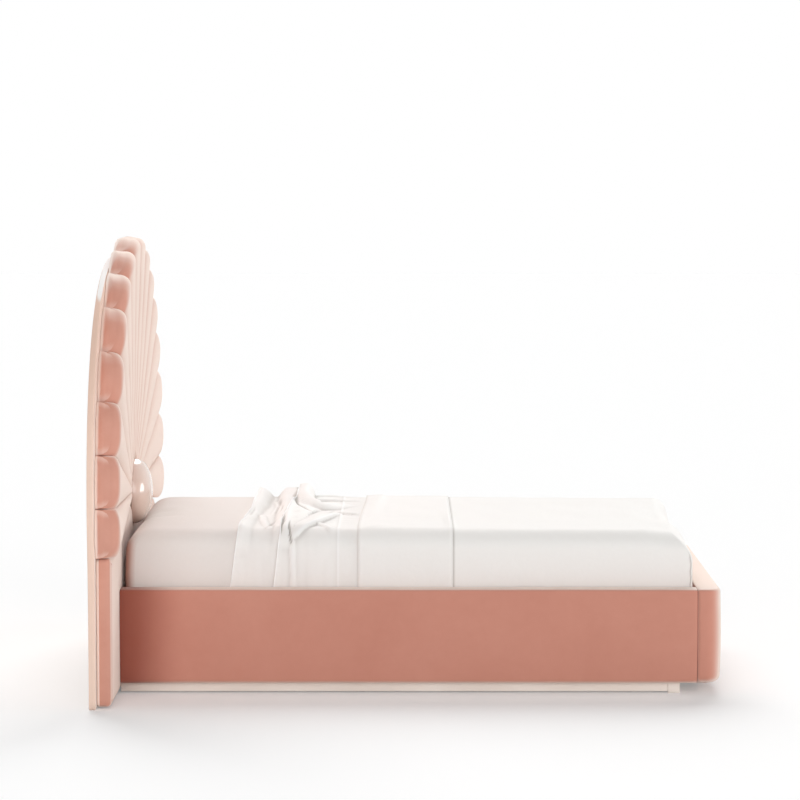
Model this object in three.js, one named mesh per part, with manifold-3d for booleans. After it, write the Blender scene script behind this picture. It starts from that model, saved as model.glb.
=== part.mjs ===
// Upholstered bed with a scallop-shell headboard, a pearl boss and a made-up mattress.
// Millimetres, +Z up, +X towards the foot. The origin lies on the floor under the bed's middle.
// Right is the sleeper's right, which is -Y.
import * as THREE from 'three';
import { mergeVertices } from 'three/addons/utils/BufferGeometryUtils.js';
import Module from 'manifold-3d';

const wasm = await Module();
wasm.setup();

// Fits
const seat = 0.3; // gap left between two pieces that rest on each other
const boltClearance = 0.3; // gap round a bolt's shank

// Mattress
const mattressLength = 2000;
const mattressWidth = 1180;
const mattressHeight = 236;
const mattressHeadCorner = 32; // radius of the upright corners at the head
const mattressFootCorner = 60;
const mattressHeadRound = 84; // radius of the top edge at the head
const mattressFootRound = 55;
const mattressSideRound = 45;
const mattressBottomRound = 20;

// Bedding
const sheetThickness = 2;
const coverletThickness = 3;
const tuckDepth = 30; // how far the bedding goes down below the tops of the rails
const sheetStart = 384; // from the mattress's head end to the top sheet's hem
const coverletStart = 820; // from the mattress's head end to the coverlet's fold
const turnDownLength = 338; // length of coverlet that is folded back on itself
const rumples = [
  // x from the sheet's hem, y, length across the bed, width along it, height, turn in degrees
  { x: 62, y: 30, length: 900, width: 120, height: 34, turn: 4 },
  { x: 150, y: -10, length: 980, width: 105, height: 38, turn: -5 },
  { x: 222, y: 60, length: 860, width: 130, height: 50, turn: -9 },
];

// Base
const railHeight = 334;
const railThickness = 86;
const railFloorGap = 38; // from the floor to the underside of the rails
const railTopRound = 8;
const railBottomRound = 18;
const footRailThickness = 86;
const footCorner = 60; // radius of the foot's upright corners
const headSpace = 15; // from the headboard's block to the mattress
const footSpace = 20; // from the mattress to the foot rail
const sideSpace = 12; // from the mattress to a side rail
const deckDepth = 44; // from the tops of the rails down to the slats

// Plinth, and the blocks at its foot corners that stand on the floor
const plinthThickness = 20;
const plinthSideRecess = 40;
const plinthFootRecess = 148;
const plinthFloorGap = 5;
const plinthBlockSize = 42;
const plinthBlockStep = 2; // how far a block stands out past the boards

// Slatted deck
const slatCount = 11;
const slatWidth = 95;
const slatThickness = 18;
const ledgerDepth = 30;
const ledgerHeight = 40;
const beamWidth = 60;
const beamHeight = 60;
const legWidth = 50;
const legSpacing = 900;
const cornerBlockSize = 60;
const cornerBlockHeight = 200;
const cornerBlockLift = 12; // from the underside of the rails to the corner blocks

// Head rail and its bolts
const headRailThickness = 24;
const headRailHeight = 180;
const boltRadius = 4;
const boltHeadRadius = 7;
const boltHeadHeight = 8;
const boltBite = 15; // how far a bolt goes into the back panel
const boltOffsets = [-480, -160, 160, 480];

// Headboard
const backPanelThickness = 24;
const backPanelHalfWidth = 1045;
const backPanelFootHalfWidth = 1015; // at the floor
const backPanelArch = 873; // from the fan's centre to the top of the arch
const backPanelEdge = 3;
const backPanelPower = 2.43; // exponent of its superellipse arch
const blockDepth = 54;
const blockInset = 58; // from the back panel's widest part to the block's side
const blockFloorGap = 5;
const blockEdgeRound = 14;

// Fan of ribs
const fanCentreRise = 85.7; // from the mattress's top to the fan's centre
const fanHalfWidth = 1030;
const fanHeight = 945; // from the fan's centre to its top
const fanPower = 1.93; // exponent of the fan's superellipse
const ribsPerSide = 8;
const ribTopPitch = THREE.MathUtils.degToRad(14.9); // pitch of the ribs' grooves at the top
const ribPitchDrop = THREE.MathUtils.degToRad(0.34); // how the grooves draw closer down the sides
const ribGap = 0.8;
const ribHubThickness = 52;
const ribEndThickness = 86;
const ribCrownRatio = 0.15; // crown of a rib's front over its width
const ribCrownPower = 2.4;
const ribScallop = 24; // how far the middle of a rib's end stands out past its corners
const ribFrontRound = 20;
const ribBackRound = 4;

// Pearl
const pearlRadius = 121;
const pearlDepth = 71;
const pearlPower = 2.2; // a little squarer than an ellipse
const pearlBaseThickness = 48;
const pearlBaseRadius = 105;

// Heights
const railTop = railFloorGap + railHeight;
const slatTop = railTop - deckDepth;
const slatBottom = slatTop - slatThickness;
const bearerTop = slatBottom - seat;
const mattressBottom = slatTop + seat;
const mattressTop = mattressBottom + mattressHeight;
const fanCentreHeight = mattressTop + fanCentreRise;
const tuckHeight = railTop - tuckDepth;
const headRailTop = bearerTop - seat;
const headRailBottom = headRailTop - headRailHeight;
const boltHeight = headRailTop - headRailHeight / 2;

// Widths, measured from the bed's centre line
const wellHalfWidth = mattressWidth / 2 + sideSpace;
const baseHalfWidth = wellHalfWidth + railThickness;
const plinthHalfWidth = baseHalfWidth - plinthSideRecess;
const blockHalfWidth = backPanelHalfWidth - blockInset;

// Lengths, worked out from the rear face of the headboard
const wellLength = mattressLength + headSpace + footSpace;
const overallLength = backPanelThickness + seat + blockDepth + seat + wellLength + footRailThickness;
const rearX = -overallLength / 2;
const panelFrontX = rearX + backPanelThickness;
const fanBackX = panelFrontX + seat;
const blockFrontX = fanBackX + blockDepth;
const railHeadX = blockFrontX + seat;
const railFootX = railHeadX + wellLength;
const baseFootX = railFootX + footRailThickness;
const mattressHeadX = railHeadX + headSpace;
const mattressFootX = mattressHeadX + mattressLength;
const headRailFootX = railHeadX + headRailThickness;
const plinthFootX = baseFootX - plinthFootRecess;

// Angles of the fan
const grooveAngle = (step) => Math.sign(step) * (ribTopPitch * Math.abs(step) - ribPitchDrop * step * step);
const fanHalfAngle = grooveAngle(ribsPerSide);

const finish = (color, roughness, metalness = 0) =>
  new THREE.MeshStandardMaterial({ color, roughness, metalness });
const finishes = {
  ribVelvet: finish(0xd9a493, 0.85),
  baseVelvet: finish(0xc98a78, 0.85),
  panel: finish(0xe4c9ba, 0.7),
  pearl: finish(0xdcb8a8, 0.15),
  plinth: finish(0xd8c5b8, 0.6),
  timber: finish(0xc8a878, 0.7),
  slat: finish(0xdcc396, 0.65),
  steel: finish(0x9a9a9c, 0.35, 1),
  mattress: finish(0xe9e4df, 0.9),
  linen: finish(0xf1eeea, 0.9),
};

const bed = new THREE.Group();

function addPiece(name, geometry, material, position = [0, 0, 0]) {
  const mesh = new THREE.Mesh(geometry, material);
  mesh.name = name;
  mesh.position.set(...position);
  bed.add(mesh);
  return mesh;
}

// Joins a geometry's shared corners, with nothing left on them but their positions
function welded(geometry) {
  const bare = new THREE.BufferGeometry();
  bare.setAttribute('position', geometry.getAttribute('position').clone());
  if (geometry.index) bare.setIndex(geometry.index.clone());
  return mergeVertices(bare, 1e-3);
}

function toSolid(geometry) {
  const shape = welded(geometry);
  return new wasm.Manifold(new wasm.Mesh({
    numProp: 3,
    vertProperties: new Float32Array(shape.getAttribute('position').array),
    triVerts: new Uint32Array(shape.index.array),
  }));
}

function fromSolid(solid) {
  const mesh = solid.getMesh();
  const geometry = new THREE.BufferGeometry();
  geometry.setAttribute('position', new THREE.BufferAttribute(mesh.vertProperties, 3));
  geometry.setIndex(new THREE.BufferAttribute(mesh.triVerts, 1));
  return geometry;
}

function cut(geometry, tools) {
  return fromSolid(tools.reduce((solid, tool) => solid.subtract(toSolid(tool)), toSolid(geometry)));
}

// A closed skin over rings of corners, with a flat cap on the first and the last ring
function loft(rings) {
  const count = rings[0].length;
  const corners = rings.flat();
  const faces = [];
  for (let ring = 0; ring + 1 < rings.length; ring += 1) {
    for (let i = 0; i < count; i += 1) {
      const a = ring * count + i;
      const b = ring * count + (i + 1) % count;
      faces.push(a, b, b + count, a, b + count, a + count);
    }
  }
  const last = (rings.length - 1) * count;
  for (let i = 1; i + 1 < count; i += 1) {
    faces.push(0, i + 1, i, last, last + i, last + i + 1);
  }
  const geometry = new THREE.BufferGeometry().setFromPoints(corners);
  geometry.setIndex(faces);
  return geometry;
}

function box(x0, x1, y0, y1, z0, z1) {
  const geometry = new THREE.BoxGeometry(x1 - x0, y1 - y0, z1 - z0);
  geometry.translate((x0 + x1) / 2, (y0 + y1) / 2, (z0 + z1) / 2);
  return geometry;
}

// A round bar along X that starts at x
function barAlongX(radius, length, x, y, z, sides = 12) {
  const geometry = new THREE.CylinderGeometry(radius, radius, length, sides);
  geometry.rotateZ(-Math.PI / 2);
  geometry.translate(x + length / 2, y, z);
  return geometry;
}

// A shape drawn in Y and Z, pushed out along X from x
function extrudeAlongX(outline, x, depth, options = {}) {
  const shape = new THREE.Shape(outline.map(([y, z]) => new THREE.Vector2(y, z)));
  const geometry = new THREE.ExtrudeGeometry(shape, { depth, bevelEnabled: false, ...options });
  geometry.applyMatrix4(new THREE.Matrix4().set(0, 0, 1, x, 1, 0, 0, 0, 0, 1, 0, 0, 0, 0, 0, 1));
  return geometry;
}

// How far a rounded edge draws in at a height of rise above the start of its arc
function roundInset(radius, rise) {
  const up = THREE.MathUtils.clamp(rise, 0, radius);
  return radius - Math.sqrt(radius * radius - up * up);
}

// Corners of an upright-cornered rectangle at height z, as a ring that runs anticlockwise
function roundedRing(x0, x1, halfWidth, radii, z, steps) {
  const centres = [
    [x1 - radii.foot, halfWidth - radii.foot, 0, radii.foot],
    [x0 + radii.head, halfWidth - radii.head, 1, radii.head],
    [x0 + radii.head, radii.head - halfWidth, 2, radii.head],
    [x1 - radii.foot, radii.foot - halfWidth, 3, radii.foot],
  ];
  const ring = [];
  for (const [x, y, quarter, radius] of centres) {
    for (let step = 0; step <= steps; step += 1) {
      const angle = (quarter + step / steps) * Math.PI / 2;
      ring.push(new THREE.Vector3(x + radius * Math.cos(angle), y + radius * Math.sin(angle), z));
    }
  }
  return ring;
}

// --- Headboard ---

// Distance from the fan's centre to a superellipse outline, at an angle from upright
function outlineRadius(angle, halfWidth, height, power) {
  const across = Math.abs(Math.sin(angle)) / halfWidth;
  const up = Math.abs(Math.cos(angle)) / height;
  return (across ** power + up ** power) ** (-1 / power);
}

const boltHoles = (radius, x, length) =>
  boltOffsets.map((y) => barAlongX(radius + boltClearance, length, x, y, boltHeight));

function backPanel() {
  const outline = [];
  const sideSteps = 8;
  const sideAt = (step) => {
    const up = step / sideSteps;
    return [THREE.MathUtils.lerp(backPanelFootHalfWidth, backPanelHalfWidth, up ** 3), fanCentreHeight * up];
  };
  for (let step = 0; step < sideSteps; step += 1) outline.push(sideAt(step));
  const steps = 40;
  for (let step = 0; step <= steps; step += 1) {
    const angle = Math.PI / 2 - Math.PI * step / steps;
    const radius = outlineRadius(angle, backPanelHalfWidth, backPanelArch, backPanelPower);
    outline.push([radius * Math.sin(angle), fanCentreHeight + radius * Math.cos(angle)]);
  }
  for (let step = sideSteps - 1; step >= 0; step -= 1) {
    const [y, z] = sideAt(step);
    outline.push([-y, z]);
  }
  const panel = extrudeAlongX(outline, rearX + backPanelEdge, backPanelThickness - 2 * backPanelEdge, {
    bevelEnabled: true,
    bevelThickness: backPanelEdge,
    bevelSize: backPanelEdge,
    bevelOffset: -backPanelEdge,
    bevelSegments: 1,
  });
  const holeDepth = boltBite + boltClearance;
  return cut(panel, boltHoles(boltRadius, panelFrontX - holeDepth, holeDepth + 1));
}

// The padded block below the fan, whose top follows the lowest ribs and clears the pearl
function headboardBlock() {
  const roofSlope = Math.tan(fanHalfAngle - Math.PI / 2);
  const roof = fanCentreHeight - (ribGap + seat) / Math.cos(fanHalfAngle - Math.PI / 2);
  const shoulder = roof - roofSlope * blockHalfWidth;
  const outline = [
    [-blockHalfWidth, blockFloorGap],
    [blockHalfWidth, blockFloorGap],
    [blockHalfWidth, shoulder],
    [0, roof],
    [-blockHalfWidth, shoulder],
  ];
  const block = extrudeAlongX(outline, fanBackX - blockEdgeRound, blockDepth, {
    bevelEnabled: true,
    bevelThickness: blockEdgeRound,
    bevelSize: blockEdgeRound,
    bevelOffset: -blockEdgeRound,
    bevelSegments: 3,
  });
  const reach = 2 * blockHalfWidth;
  const behind = box(fanBackX - reach, fanBackX, -reach, reach, -reach, reach);
  const pearlNotch = barAlongX(pearlRadius + seat + 1, 4 * blockDepth, fanBackX - blockDepth, 0,
    fanCentreHeight, 48);
  return cut(block, [behind, pearlNotch, ...boltHoles(boltRadius, fanBackX - 1, blockDepth + 2)]);
}

// One padded rib standing upright: Z runs out from the fan's centre, X is its thickness
function rib(angle, halfAngle) {
  const reach = outlineRadius(angle, fanHalfWidth, fanHeight, fanPower);
  const hub = pearlRadius + 2 * seat + 1;
  const shoulder = reach - ribFrontRound;
  const widthAt = (radius) => radius * Math.tan(halfAngle) - ribGap / 2;
  const across = 10;

  // side runs from -1 to 1 over the rib's front, lift is its front height there
  const ring = (radius, halfWidth, thickness, drop, scallop, back) => {
    const crown = 2 * halfWidth * ribCrownRatio;
    const corners = [new THREE.Vector3(back, -halfWidth, radius - scallop)];
    for (let step = 0; step <= across; step += 1) {
      const side = 2 * step / across - 1;
      const lift = thickness - crown * Math.abs(side) ** ribCrownPower - drop;
      corners.push(new THREE.Vector3(lift, side * halfWidth, radius - scallop * side * side));
    }
    corners.push(new THREE.Vector3(back, halfWidth, radius - scallop));
    return corners;
  };

  const rings = [ring(hub, widthAt(hub), ribHubThickness, 0, 0, 0)];
  const roundSteps = 4;
  const halfWidth = widthAt(shoulder - ribScallop);
  for (let step = 0; step <= roundSteps; step += 1) {
    const turn = step / roundSteps * Math.PI / 2;
    const radius = shoulder + ribFrontRound * Math.sin(turn);
    const drop = ribFrontRound * (1 - Math.cos(turn));
    const back = ribBackRound * (1 - Math.cos(turn));
    rings.push(ring(radius, halfWidth, ribEndThickness, drop, ribScallop, back));
  }
  return loft(rings);
}

function pearl() {
  const profile = [new THREE.Vector2(0, 0)];
  const steps = 9;
  for (let step = 0; step <= steps; step += 1) {
    const turn = step / steps * Math.PI / 2;
    profile.push(new THREE.Vector2(
      step === steps ? 0 : pearlRadius * Math.cos(turn) ** (2 / pearlPower),
      pearlDepth * Math.sin(turn) ** (2 / pearlPower),
    ));
  }
  const dome = new THREE.LatheGeometry(profile, 36);
  dome.rotateZ(-Math.PI / 2);
  return dome;
}

addPiece('back_panel', backPanel(), finishes.panel);
addPiece('headboard_block', headboardBlock(), finishes.ribVelvet);

for (let index = 0; index < 2 * ribsPerSide; index += 1) {
  const first = grooveAngle(index - ribsPerSide);
  const last = grooveAngle(index + 1 - ribsPerSide);
  const angle = (first + last) / 2;
  const name = `rib_${String(index + 1).padStart(2, '0')}`;
  const mesh = addPiece(name, rib(angle, (last - first) / 2), finishes.ribVelvet,
    [fanBackX, 0, fanCentreHeight]);
  mesh.rotation.x = -angle;
}

addPiece('pearl_base', barAlongX(pearlBaseRadius, pearlBaseThickness, fanBackX, 0, fanCentreHeight, 36),
  finishes.timber);
const pearlBackX = fanBackX + pearlBaseThickness + seat;
addPiece('pearl', pearl(), finishes.pearl, [pearlBackX, 0, fanCentreHeight]);

// --- Base ---

// Section of a side rail in Y and Z, with its outer face towards +Y
function railSection() {
  const outer = baseHalfWidth;
  const inner = wellHalfWidth;
  const section = [[inner, railFloorGap]];
  const steps = 4;
  const arc = (y, z, radius, from) => {
    for (let step = 0; step <= steps; step += 1) {
      const angle = from + step / steps * Math.PI / 2;
      section.push([y + radius * Math.cos(angle), z + radius * Math.sin(angle)]);
    }
  };
  arc(outer - railBottomRound, railFloorGap + railBottomRound, railBottomRound, -Math.PI / 2);
  arc(outer - railTopRound, railTop - railTopRound, railTopRound, 0);
  arc(inner + railTopRound, railTop - railTopRound, railTopRound, Math.PI / 2);
  return section;
}

function sideRail(side) {
  const section = railSection().map(([y, z]) => [side * y, z]);
  return extrudeAlongX(section, railHeadX, wellLength - seat);
}

function footRail() {
  const steps = 4;
  const levels = [];
  for (let step = 0; step <= steps; step += 1) {
    const turn = step / steps * Math.PI / 2;
    const inset = railBottomRound * (1 - Math.sin(turn));
    levels.push([railFloorGap + railBottomRound * (1 - Math.cos(turn)), inset]);
  }
  for (let step = 0; step <= steps; step += 1) {
    const turn = step / steps * Math.PI / 2;
    const inset = railTopRound * (1 - Math.cos(turn));
    levels.push([railTop - railTopRound * (1 - Math.sin(turn)), inset]);
  }
  const innerCorner = 1;
  return loft(levels.map(([z, inset]) => roundedRing(railFootX, baseFootX - inset, baseHalfWidth - inset,
    { head: innerCorner, foot: footCorner - inset }, z, 8)));
}

function headRail() {
  const rail = box(railHeadX, headRailFootX, seat - wellHalfWidth, wellHalfWidth - seat, headRailBottom,
    headRailTop);
  return cut(rail, boltHoles(boltRadius, railHeadX - 1, headRailThickness + 2));
}

function headBolt(y) {
  const shankX = panelFrontX - boltBite;
  const underHeadX = headRailFootX + seat;
  const profile = [
    [0, 0],
    [boltRadius, 0],
    [boltRadius, underHeadX - shankX],
    [boltHeadRadius, underHeadX - shankX],
    [boltHeadRadius, underHeadX - shankX + boltHeadHeight],
    [0, underHeadX - shankX + boltHeadHeight],
  ];
  const bolt = new THREE.LatheGeometry(profile.map(([r, x]) => new THREE.Vector2(r, x)), 12);
  bolt.rotateZ(-Math.PI / 2);
  bolt.translate(shankX, y, boltHeight);
  return bolt;
}

addPiece('foot_rail', footRail(), finishes.baseVelvet);
addPiece('head_rail', headRail(), finishes.timber);
boltOffsets.forEach((y, index) => addPiece(`head_bolt_${index + 1}`, headBolt(y), finishes.steel));

const plinthBlockHalf = plinthHalfWidth + plinthBlockStep;
const plinthBlockX = plinthFootX + plinthBlockStep - plinthBlockSize;
for (const [name, side] of [['right', -1], ['left', 1]]) {
  const across = (near, far) => [Math.min(side * near, side * far), Math.max(side * near, side * far)];
  addPiece(`side_rail_${name}`, sideRail(side), finishes.baseVelvet);

  const ledger = across(wellHalfWidth - seat, wellHalfWidth - seat - ledgerDepth);
  addPiece(`slat_ledger_${name}`, box(headRailFootX + seat, railFootX - seat, ...ledger,
    bearerTop - ledgerHeight, bearerTop), finishes.timber);

  const block = across(wellHalfWidth - seat, wellHalfWidth - seat - cornerBlockSize);
  const blockBottom = railFloorGap + cornerBlockLift;
  addPiece(`corner_block_${name}`, box(railFootX - seat - cornerBlockSize, railFootX - seat, ...block,
    blockBottom, blockBottom + cornerBlockHeight), finishes.timber);

  const board = across(plinthHalfWidth, plinthHalfWidth - plinthThickness);
  addPiece(`plinth_${name}`, box(railHeadX, plinthBlockX - seat, ...board, plinthFloorGap,
    railFloorGap - seat), finishes.plinth);

  const standing = across(plinthBlockHalf, plinthBlockHalf - plinthBlockSize);
  addPiece(`plinth_block_${name}`, box(plinthBlockX, plinthBlockX + plinthBlockSize, ...standing, 0,
    railFloorGap - seat), finishes.plinth);
}

const plinthInnerHalf = plinthBlockHalf - plinthBlockSize - seat;
addPiece('plinth_foot', box(plinthFootX - plinthThickness, plinthFootX, -plinthInnerHalf, plinthInnerHalf,
  plinthFloorGap, railFloorGap - seat), finishes.plinth);

// --- Slatted deck ---

const deckStartX = headRailFootX + seat;
const deckEndX = railFootX - seat;
const slatHalfLength = wellHalfWidth - seat;
for (let index = 0; index < slatCount; index += 1) {
  const x = THREE.MathUtils.lerp(deckStartX, deckEndX - slatWidth, index / (slatCount - 1));
  const name = `slat_${String(index + 1).padStart(2, '0')}`;
  addPiece(name, box(x, x + slatWidth, -slatHalfLength, slatHalfLength, slatBottom, slatTop),
    finishes.slat);
}

const beamBottom = bearerTop - beamHeight;
addPiece('centre_beam', box(deckStartX, deckEndX, -beamWidth / 2, beamWidth / 2, beamBottom, bearerTop),
  finishes.timber);
const deckMiddleX = (deckStartX + deckEndX) / 2;
for (const [name, end] of [['head', -1], ['foot', 1]]) {
  const x = deckMiddleX + end * legSpacing / 2;
  addPiece(`centre_leg_${name}`, box(x - legWidth / 2, x + legWidth / 2, -legWidth / 2, legWidth / 2, 0,
    beamBottom - seat), finishes.timber);
}

// --- Mattress and bedding ---

// The mattress's form grown outwards by grow, as far down as a height of bottom
function mattressForm(grow, bottom, bottomRound) {
  const x0 = mattressHeadX - grow;
  const x1 = mattressFootX + grow;
  const halfWidth = mattressWidth / 2 + grow;
  const top = mattressBottom + mattressHeight + grow;
  const largest = Math.max(mattressHeadRound, mattressFootRound, mattressSideRound) + grow;
  const levels = [];
  const bottomSteps = bottomRound > 0 ? 2 : 0;
  for (let step = 0; step < bottomSteps; step += 1) {
    const turn = step / bottomSteps * Math.PI / 2;
    levels.push([bottom + bottomRound * (1 - Math.cos(turn)), bottomRound * (1 - Math.sin(turn))]);
  }
  levels.push([bottom + bottomRound, 0]);
  const topSteps = 6;
  for (let step = 0; step <= topSteps; step += 1) {
    levels.push([top - largest * (1 - Math.sin(step / topSteps * Math.PI / 2)), 0]);
  }
  return loft(levels.map(([z, inset]) => {
    const drawIn = (round) => inset + roundInset(round + grow, z - (top - round - grow));
    const side = drawIn(mattressSideRound);
    const head = drawIn(mattressHeadRound);
    const foot = drawIn(mattressFootRound);
    const radii = {
      head: mattressHeadCorner + grow - Math.min(side, head) * 0.5,
      foot: mattressFootCorner + grow - Math.min(side, foot) * 0.5,
    };
    return roundedRing(x0 + head, x1 - foot, halfWidth - side, radii, z, 5);
  }));
}

// A layer of cloth over the mattress, between two stretches of its length
function layer(innerGrow, outerGrow, x0, x1) {
  const skin = toSolid(mattressForm(outerGrow, tuckHeight, 0));
  const half = mattressWidth;
  const slice = toSolid(box(x0, x1, -half, half, tuckHeight, tuckHeight + 2 * mattressHeight));
  const core = toSolid(mattressForm(innerGrow, mattressBottom, 0));
  return { skin, slice, core };
}

function fold({ x, y, length, width, height, turn }, hemX, deckHeight) {
  const hump = new THREE.SphereGeometry(1, 12, 10);
  hump.rotateX(Math.PI / 2);
  hump.scale(width / 2, length / 2, height);
  hump.rotateZ(THREE.MathUtils.degToRad(turn));
  hump.translate(hemX + x, y, deckHeight);
  return toSolid(hump);
}

const sheetOuter = seat + sheetThickness;
const coverletOuter = sheetOuter + seat + coverletThickness;
const turnDownOuter = coverletOuter + seat + coverletThickness;
const sheetX = mattressHeadX + sheetStart;
const coverletX = mattressHeadX + coverletStart;
const turnDownEndX = coverletX + turnDownLength;
const beyondFootX = mattressFootX + 2 * turnDownOuter;

function topSheet() {
  const { skin, slice, core } = layer(seat, sheetOuter, sheetX, beyondFootX);
  const folds = rumples.map((rumple) => fold(rumple, sheetX, mattressTop + sheetOuter));
  const cloth = folds.reduce((solid, hump) => solid.add(hump), skin.intersect(slice));
  return fromSolid(cloth.subtract(core));
}

function coverlet() {
  const { skin, slice, core } = layer(sheetOuter + seat, coverletOuter, coverletX, beyondFootX);
  return fromSolid(skin.intersect(slice).subtract(core));
}

function turnDown() {
  const { skin, slice, core } = layer(coverletOuter + seat, turnDownOuter, coverletX, turnDownEndX);
  return fromSolid(skin.intersect(slice).subtract(core));
}

addPiece('mattress', mattressForm(0, mattressBottom, mattressBottomRound), finishes.mattress);
addPiece('top_sheet', topSheet(), finishes.linen);
addPiece('coverlet', coverlet(), finishes.linen);
addPiece('turn_down', turnDown(), finishes.linen);

export default bed;
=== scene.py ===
# Bed with a shell headboard, a pearl boss, a velvet base and a made-up mattress
import math

import bmesh
import bpy
import numpy as np
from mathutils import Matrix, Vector


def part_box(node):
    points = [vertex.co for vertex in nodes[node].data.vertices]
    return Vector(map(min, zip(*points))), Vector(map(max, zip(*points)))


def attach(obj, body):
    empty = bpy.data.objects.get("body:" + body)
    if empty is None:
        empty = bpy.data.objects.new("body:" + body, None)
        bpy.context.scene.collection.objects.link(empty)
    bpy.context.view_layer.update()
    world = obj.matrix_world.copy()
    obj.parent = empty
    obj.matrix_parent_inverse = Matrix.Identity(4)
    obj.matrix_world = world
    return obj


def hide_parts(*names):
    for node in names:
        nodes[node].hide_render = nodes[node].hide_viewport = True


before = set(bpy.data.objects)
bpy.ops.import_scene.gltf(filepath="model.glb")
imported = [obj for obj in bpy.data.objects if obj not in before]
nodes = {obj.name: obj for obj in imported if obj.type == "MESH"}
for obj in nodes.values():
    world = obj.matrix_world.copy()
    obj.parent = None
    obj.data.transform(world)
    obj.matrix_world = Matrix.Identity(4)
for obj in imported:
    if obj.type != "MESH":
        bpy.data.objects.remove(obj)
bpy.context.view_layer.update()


class Field:
    # A socket that takes part in sums, for shader and geometry trees alike
    def __init__(self, tree, socket):
        self.tree, self.socket = tree, socket

    def math(self, operation, *others):
        made = self.tree.nodes.new("ShaderNodeMath")
        made.operation = operation
        for socket, value in zip(made.inputs, (self, *others)):
            feed(self.tree, socket, value)
        return Field(self.tree, made.outputs[0])

    def __add__(self, other): return self.math("ADD", other)
    def __sub__(self, other): return self.math("SUBTRACT", other)
    def __mul__(self, other): return self.math("MULTIPLY", other)
    def __truediv__(self, other): return self.math("DIVIDE", other)
    def __pow__(self, other): return self.math("POWER", other)
    def __neg__(self): return self.math("MULTIPLY", -1.0)
    def __rsub__(self, other): return -self + other
    def __abs__(self): return self.math("ABSOLUTE")

    def between(self, low, high):
        return self.math("MAXIMUM", low).math("MINIMUM", high)

    def remap(self, low, high, smooth=True):
        made = addNode(self.tree, "ShaderNodeMapRange", {0: self, 1: low, 2: high},
                       interpolation_type="SMOOTHSTEP" if smooth else "LINEAR")
        return Field(self.tree, made.outputs[0])


def feed(tree, socket, value):
    if isinstance(value, Field):
        tree.links.new(value.socket, socket)
    else:
        socket.default_value = value


def addNode(tree, kind, inputs=None, **settings):
    made = tree.nodes.new(kind)
    for key, value in settings.items():
        setattr(made, key, value)
    for key, value in (inputs or {}).items():
        feed(tree, made.inputs[key], value)
    return made


def output(tree, kind, key, inputs=None, **settings):
    return Field(tree, addNode(tree, kind, inputs, **settings).outputs[key])


def noise(tree, place, scale, detail, **more):
    return output(tree, "ShaderNodeTexNoise", 0, {"Vector": place, "Scale": scale, "Detail": detail, **more})


def split(tree, vector):
    made = addNode(tree, "ShaderNodeSeparateXYZ", {0: vector})
    return [Field(tree, made.outputs[axis]) for axis in range(3)]


def joined(tree, x, y, z):
    return output(tree, "ShaderNodeCombineXYZ", 0, {0: x, 1: y, 2: z})


def painted(tree, geometry, given):
    return output(tree, "GeometryNodeSetMaterial", 0, {"Geometry": geometry, "Material": given["Material"]})


def newTree(name, kind, inputs, outputs):
    # An input is its starting number, or the kind of its socket; done() feeds the outputs and gives the tree back
    tree = bpy.data.node_groups.new(name, kind)
    for inOut, sockets in (("INPUT", inputs), ("OUTPUT", outputs)):
        for label, value in sockets.items():
            socketKind = value if isinstance(value, str) else type(value).__name__.capitalize()
            made = tree.interface.new_socket(label, in_out=inOut, socket_type="NodeSocket" + socketKind)
            if value != socketKind:
                made.default_value = value
    entry = tree.nodes.new("NodeGroupInput")
    end = tree.nodes.new("NodeGroupOutput")

    def done(**results):
        for label, value in results.items():
            feed(tree, end.inputs[label], value)
        return tree

    return tree, {label: Field(tree, entry.outputs[label]) for label in inputs}, done


def middle(node):
    low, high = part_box(node)
    return (low + high) / 2


def linked(name, data):
    made = bpy.data.objects.new(name, data)
    bpy.context.scene.collection.objects.link(made)
    return made


def meshPiece(name, points, faces, edges=()):
    mesh = bpy.data.meshes.new(name)
    mesh.from_pydata([tuple(map(float, point)) for point in points], list(edges), list(faces))
    mesh.polygons.foreach_set("use_smooth", [True] * len(mesh.polygons))
    return linked(name, mesh)


def outward(piece):
    # Turns every face of a closed piece outwards
    shape = bmesh.new()
    shape.from_mesh(piece.data)
    bmesh.ops.recalc_face_normals(shape, faces=shape.faces)
    shape.to_mesh(piece.data)
    shape.free()


def ringFaces(rings, count, first=0):
    # Quads between rings of points, where each ring closes on itself
    faces = []
    for ring in range(rings - 1):
        for i in range(count):
            a, b = first + ring * count + i, first + ring * count + (i + 1) % count
            faces.append((a, b, b + count, a + count))
    return faces


def closedFaces(rings, count):
    # The same quads with a flat face at each end
    last = (rings - 1) * count
    return ringFaces(rings, count) + [tuple(range(count - 1, -1, -1)), tuple(range(last, last + count))]


def loftPiece(name, rings):
    made = meshPiece(name, [point for ring in rings for point in ring], closedFaces(len(rings), len(rings[0])))
    outward(made)
    return made


def easedEdges(mesh, degrees):
    # Smooth shading that stops at edges sharper than this
    mesh.polygons.foreach_set("use_smooth", [True] * len(mesh.polygons))
    mesh.set_sharp_from_angle(angle=math.radians(degrees))


def setShade(piece, values):
    # Painted shade: above zero a point turns darker, and below zero paler as a painted highlight
    made = piece.data.attributes.new("shade", "FLOAT", "POINT")
    made.data.foreach_set("value", np.asarray(values, np.float32))


def applyModifiers(piece):
    graph = bpy.context.evaluated_depsgraph_get()
    mesh = bpy.data.meshes.new_from_object(piece.evaluated_get(graph), depsgraph=graph)
    piece.modifiers.clear()
    piece.data = mesh


def runTree(piece, tree, values):
    modifier = piece.modifiers.new(tree.name, "NODES")
    modifier.node_group = tree
    for item in tree.interface.items_tree:
        if item.item_type == "SOCKET" and item.in_out == "INPUT" and item.name in values:
            modifier[item.identifier] = values[item.name]
    applyModifiers(piece)


def dress(piece, material, body, replaced=()):
    piece.data.materials.clear()
    piece.data.materials.append(material)
    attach(piece, body)
    if replaced:
        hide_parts(*replaced)
    return piece


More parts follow.
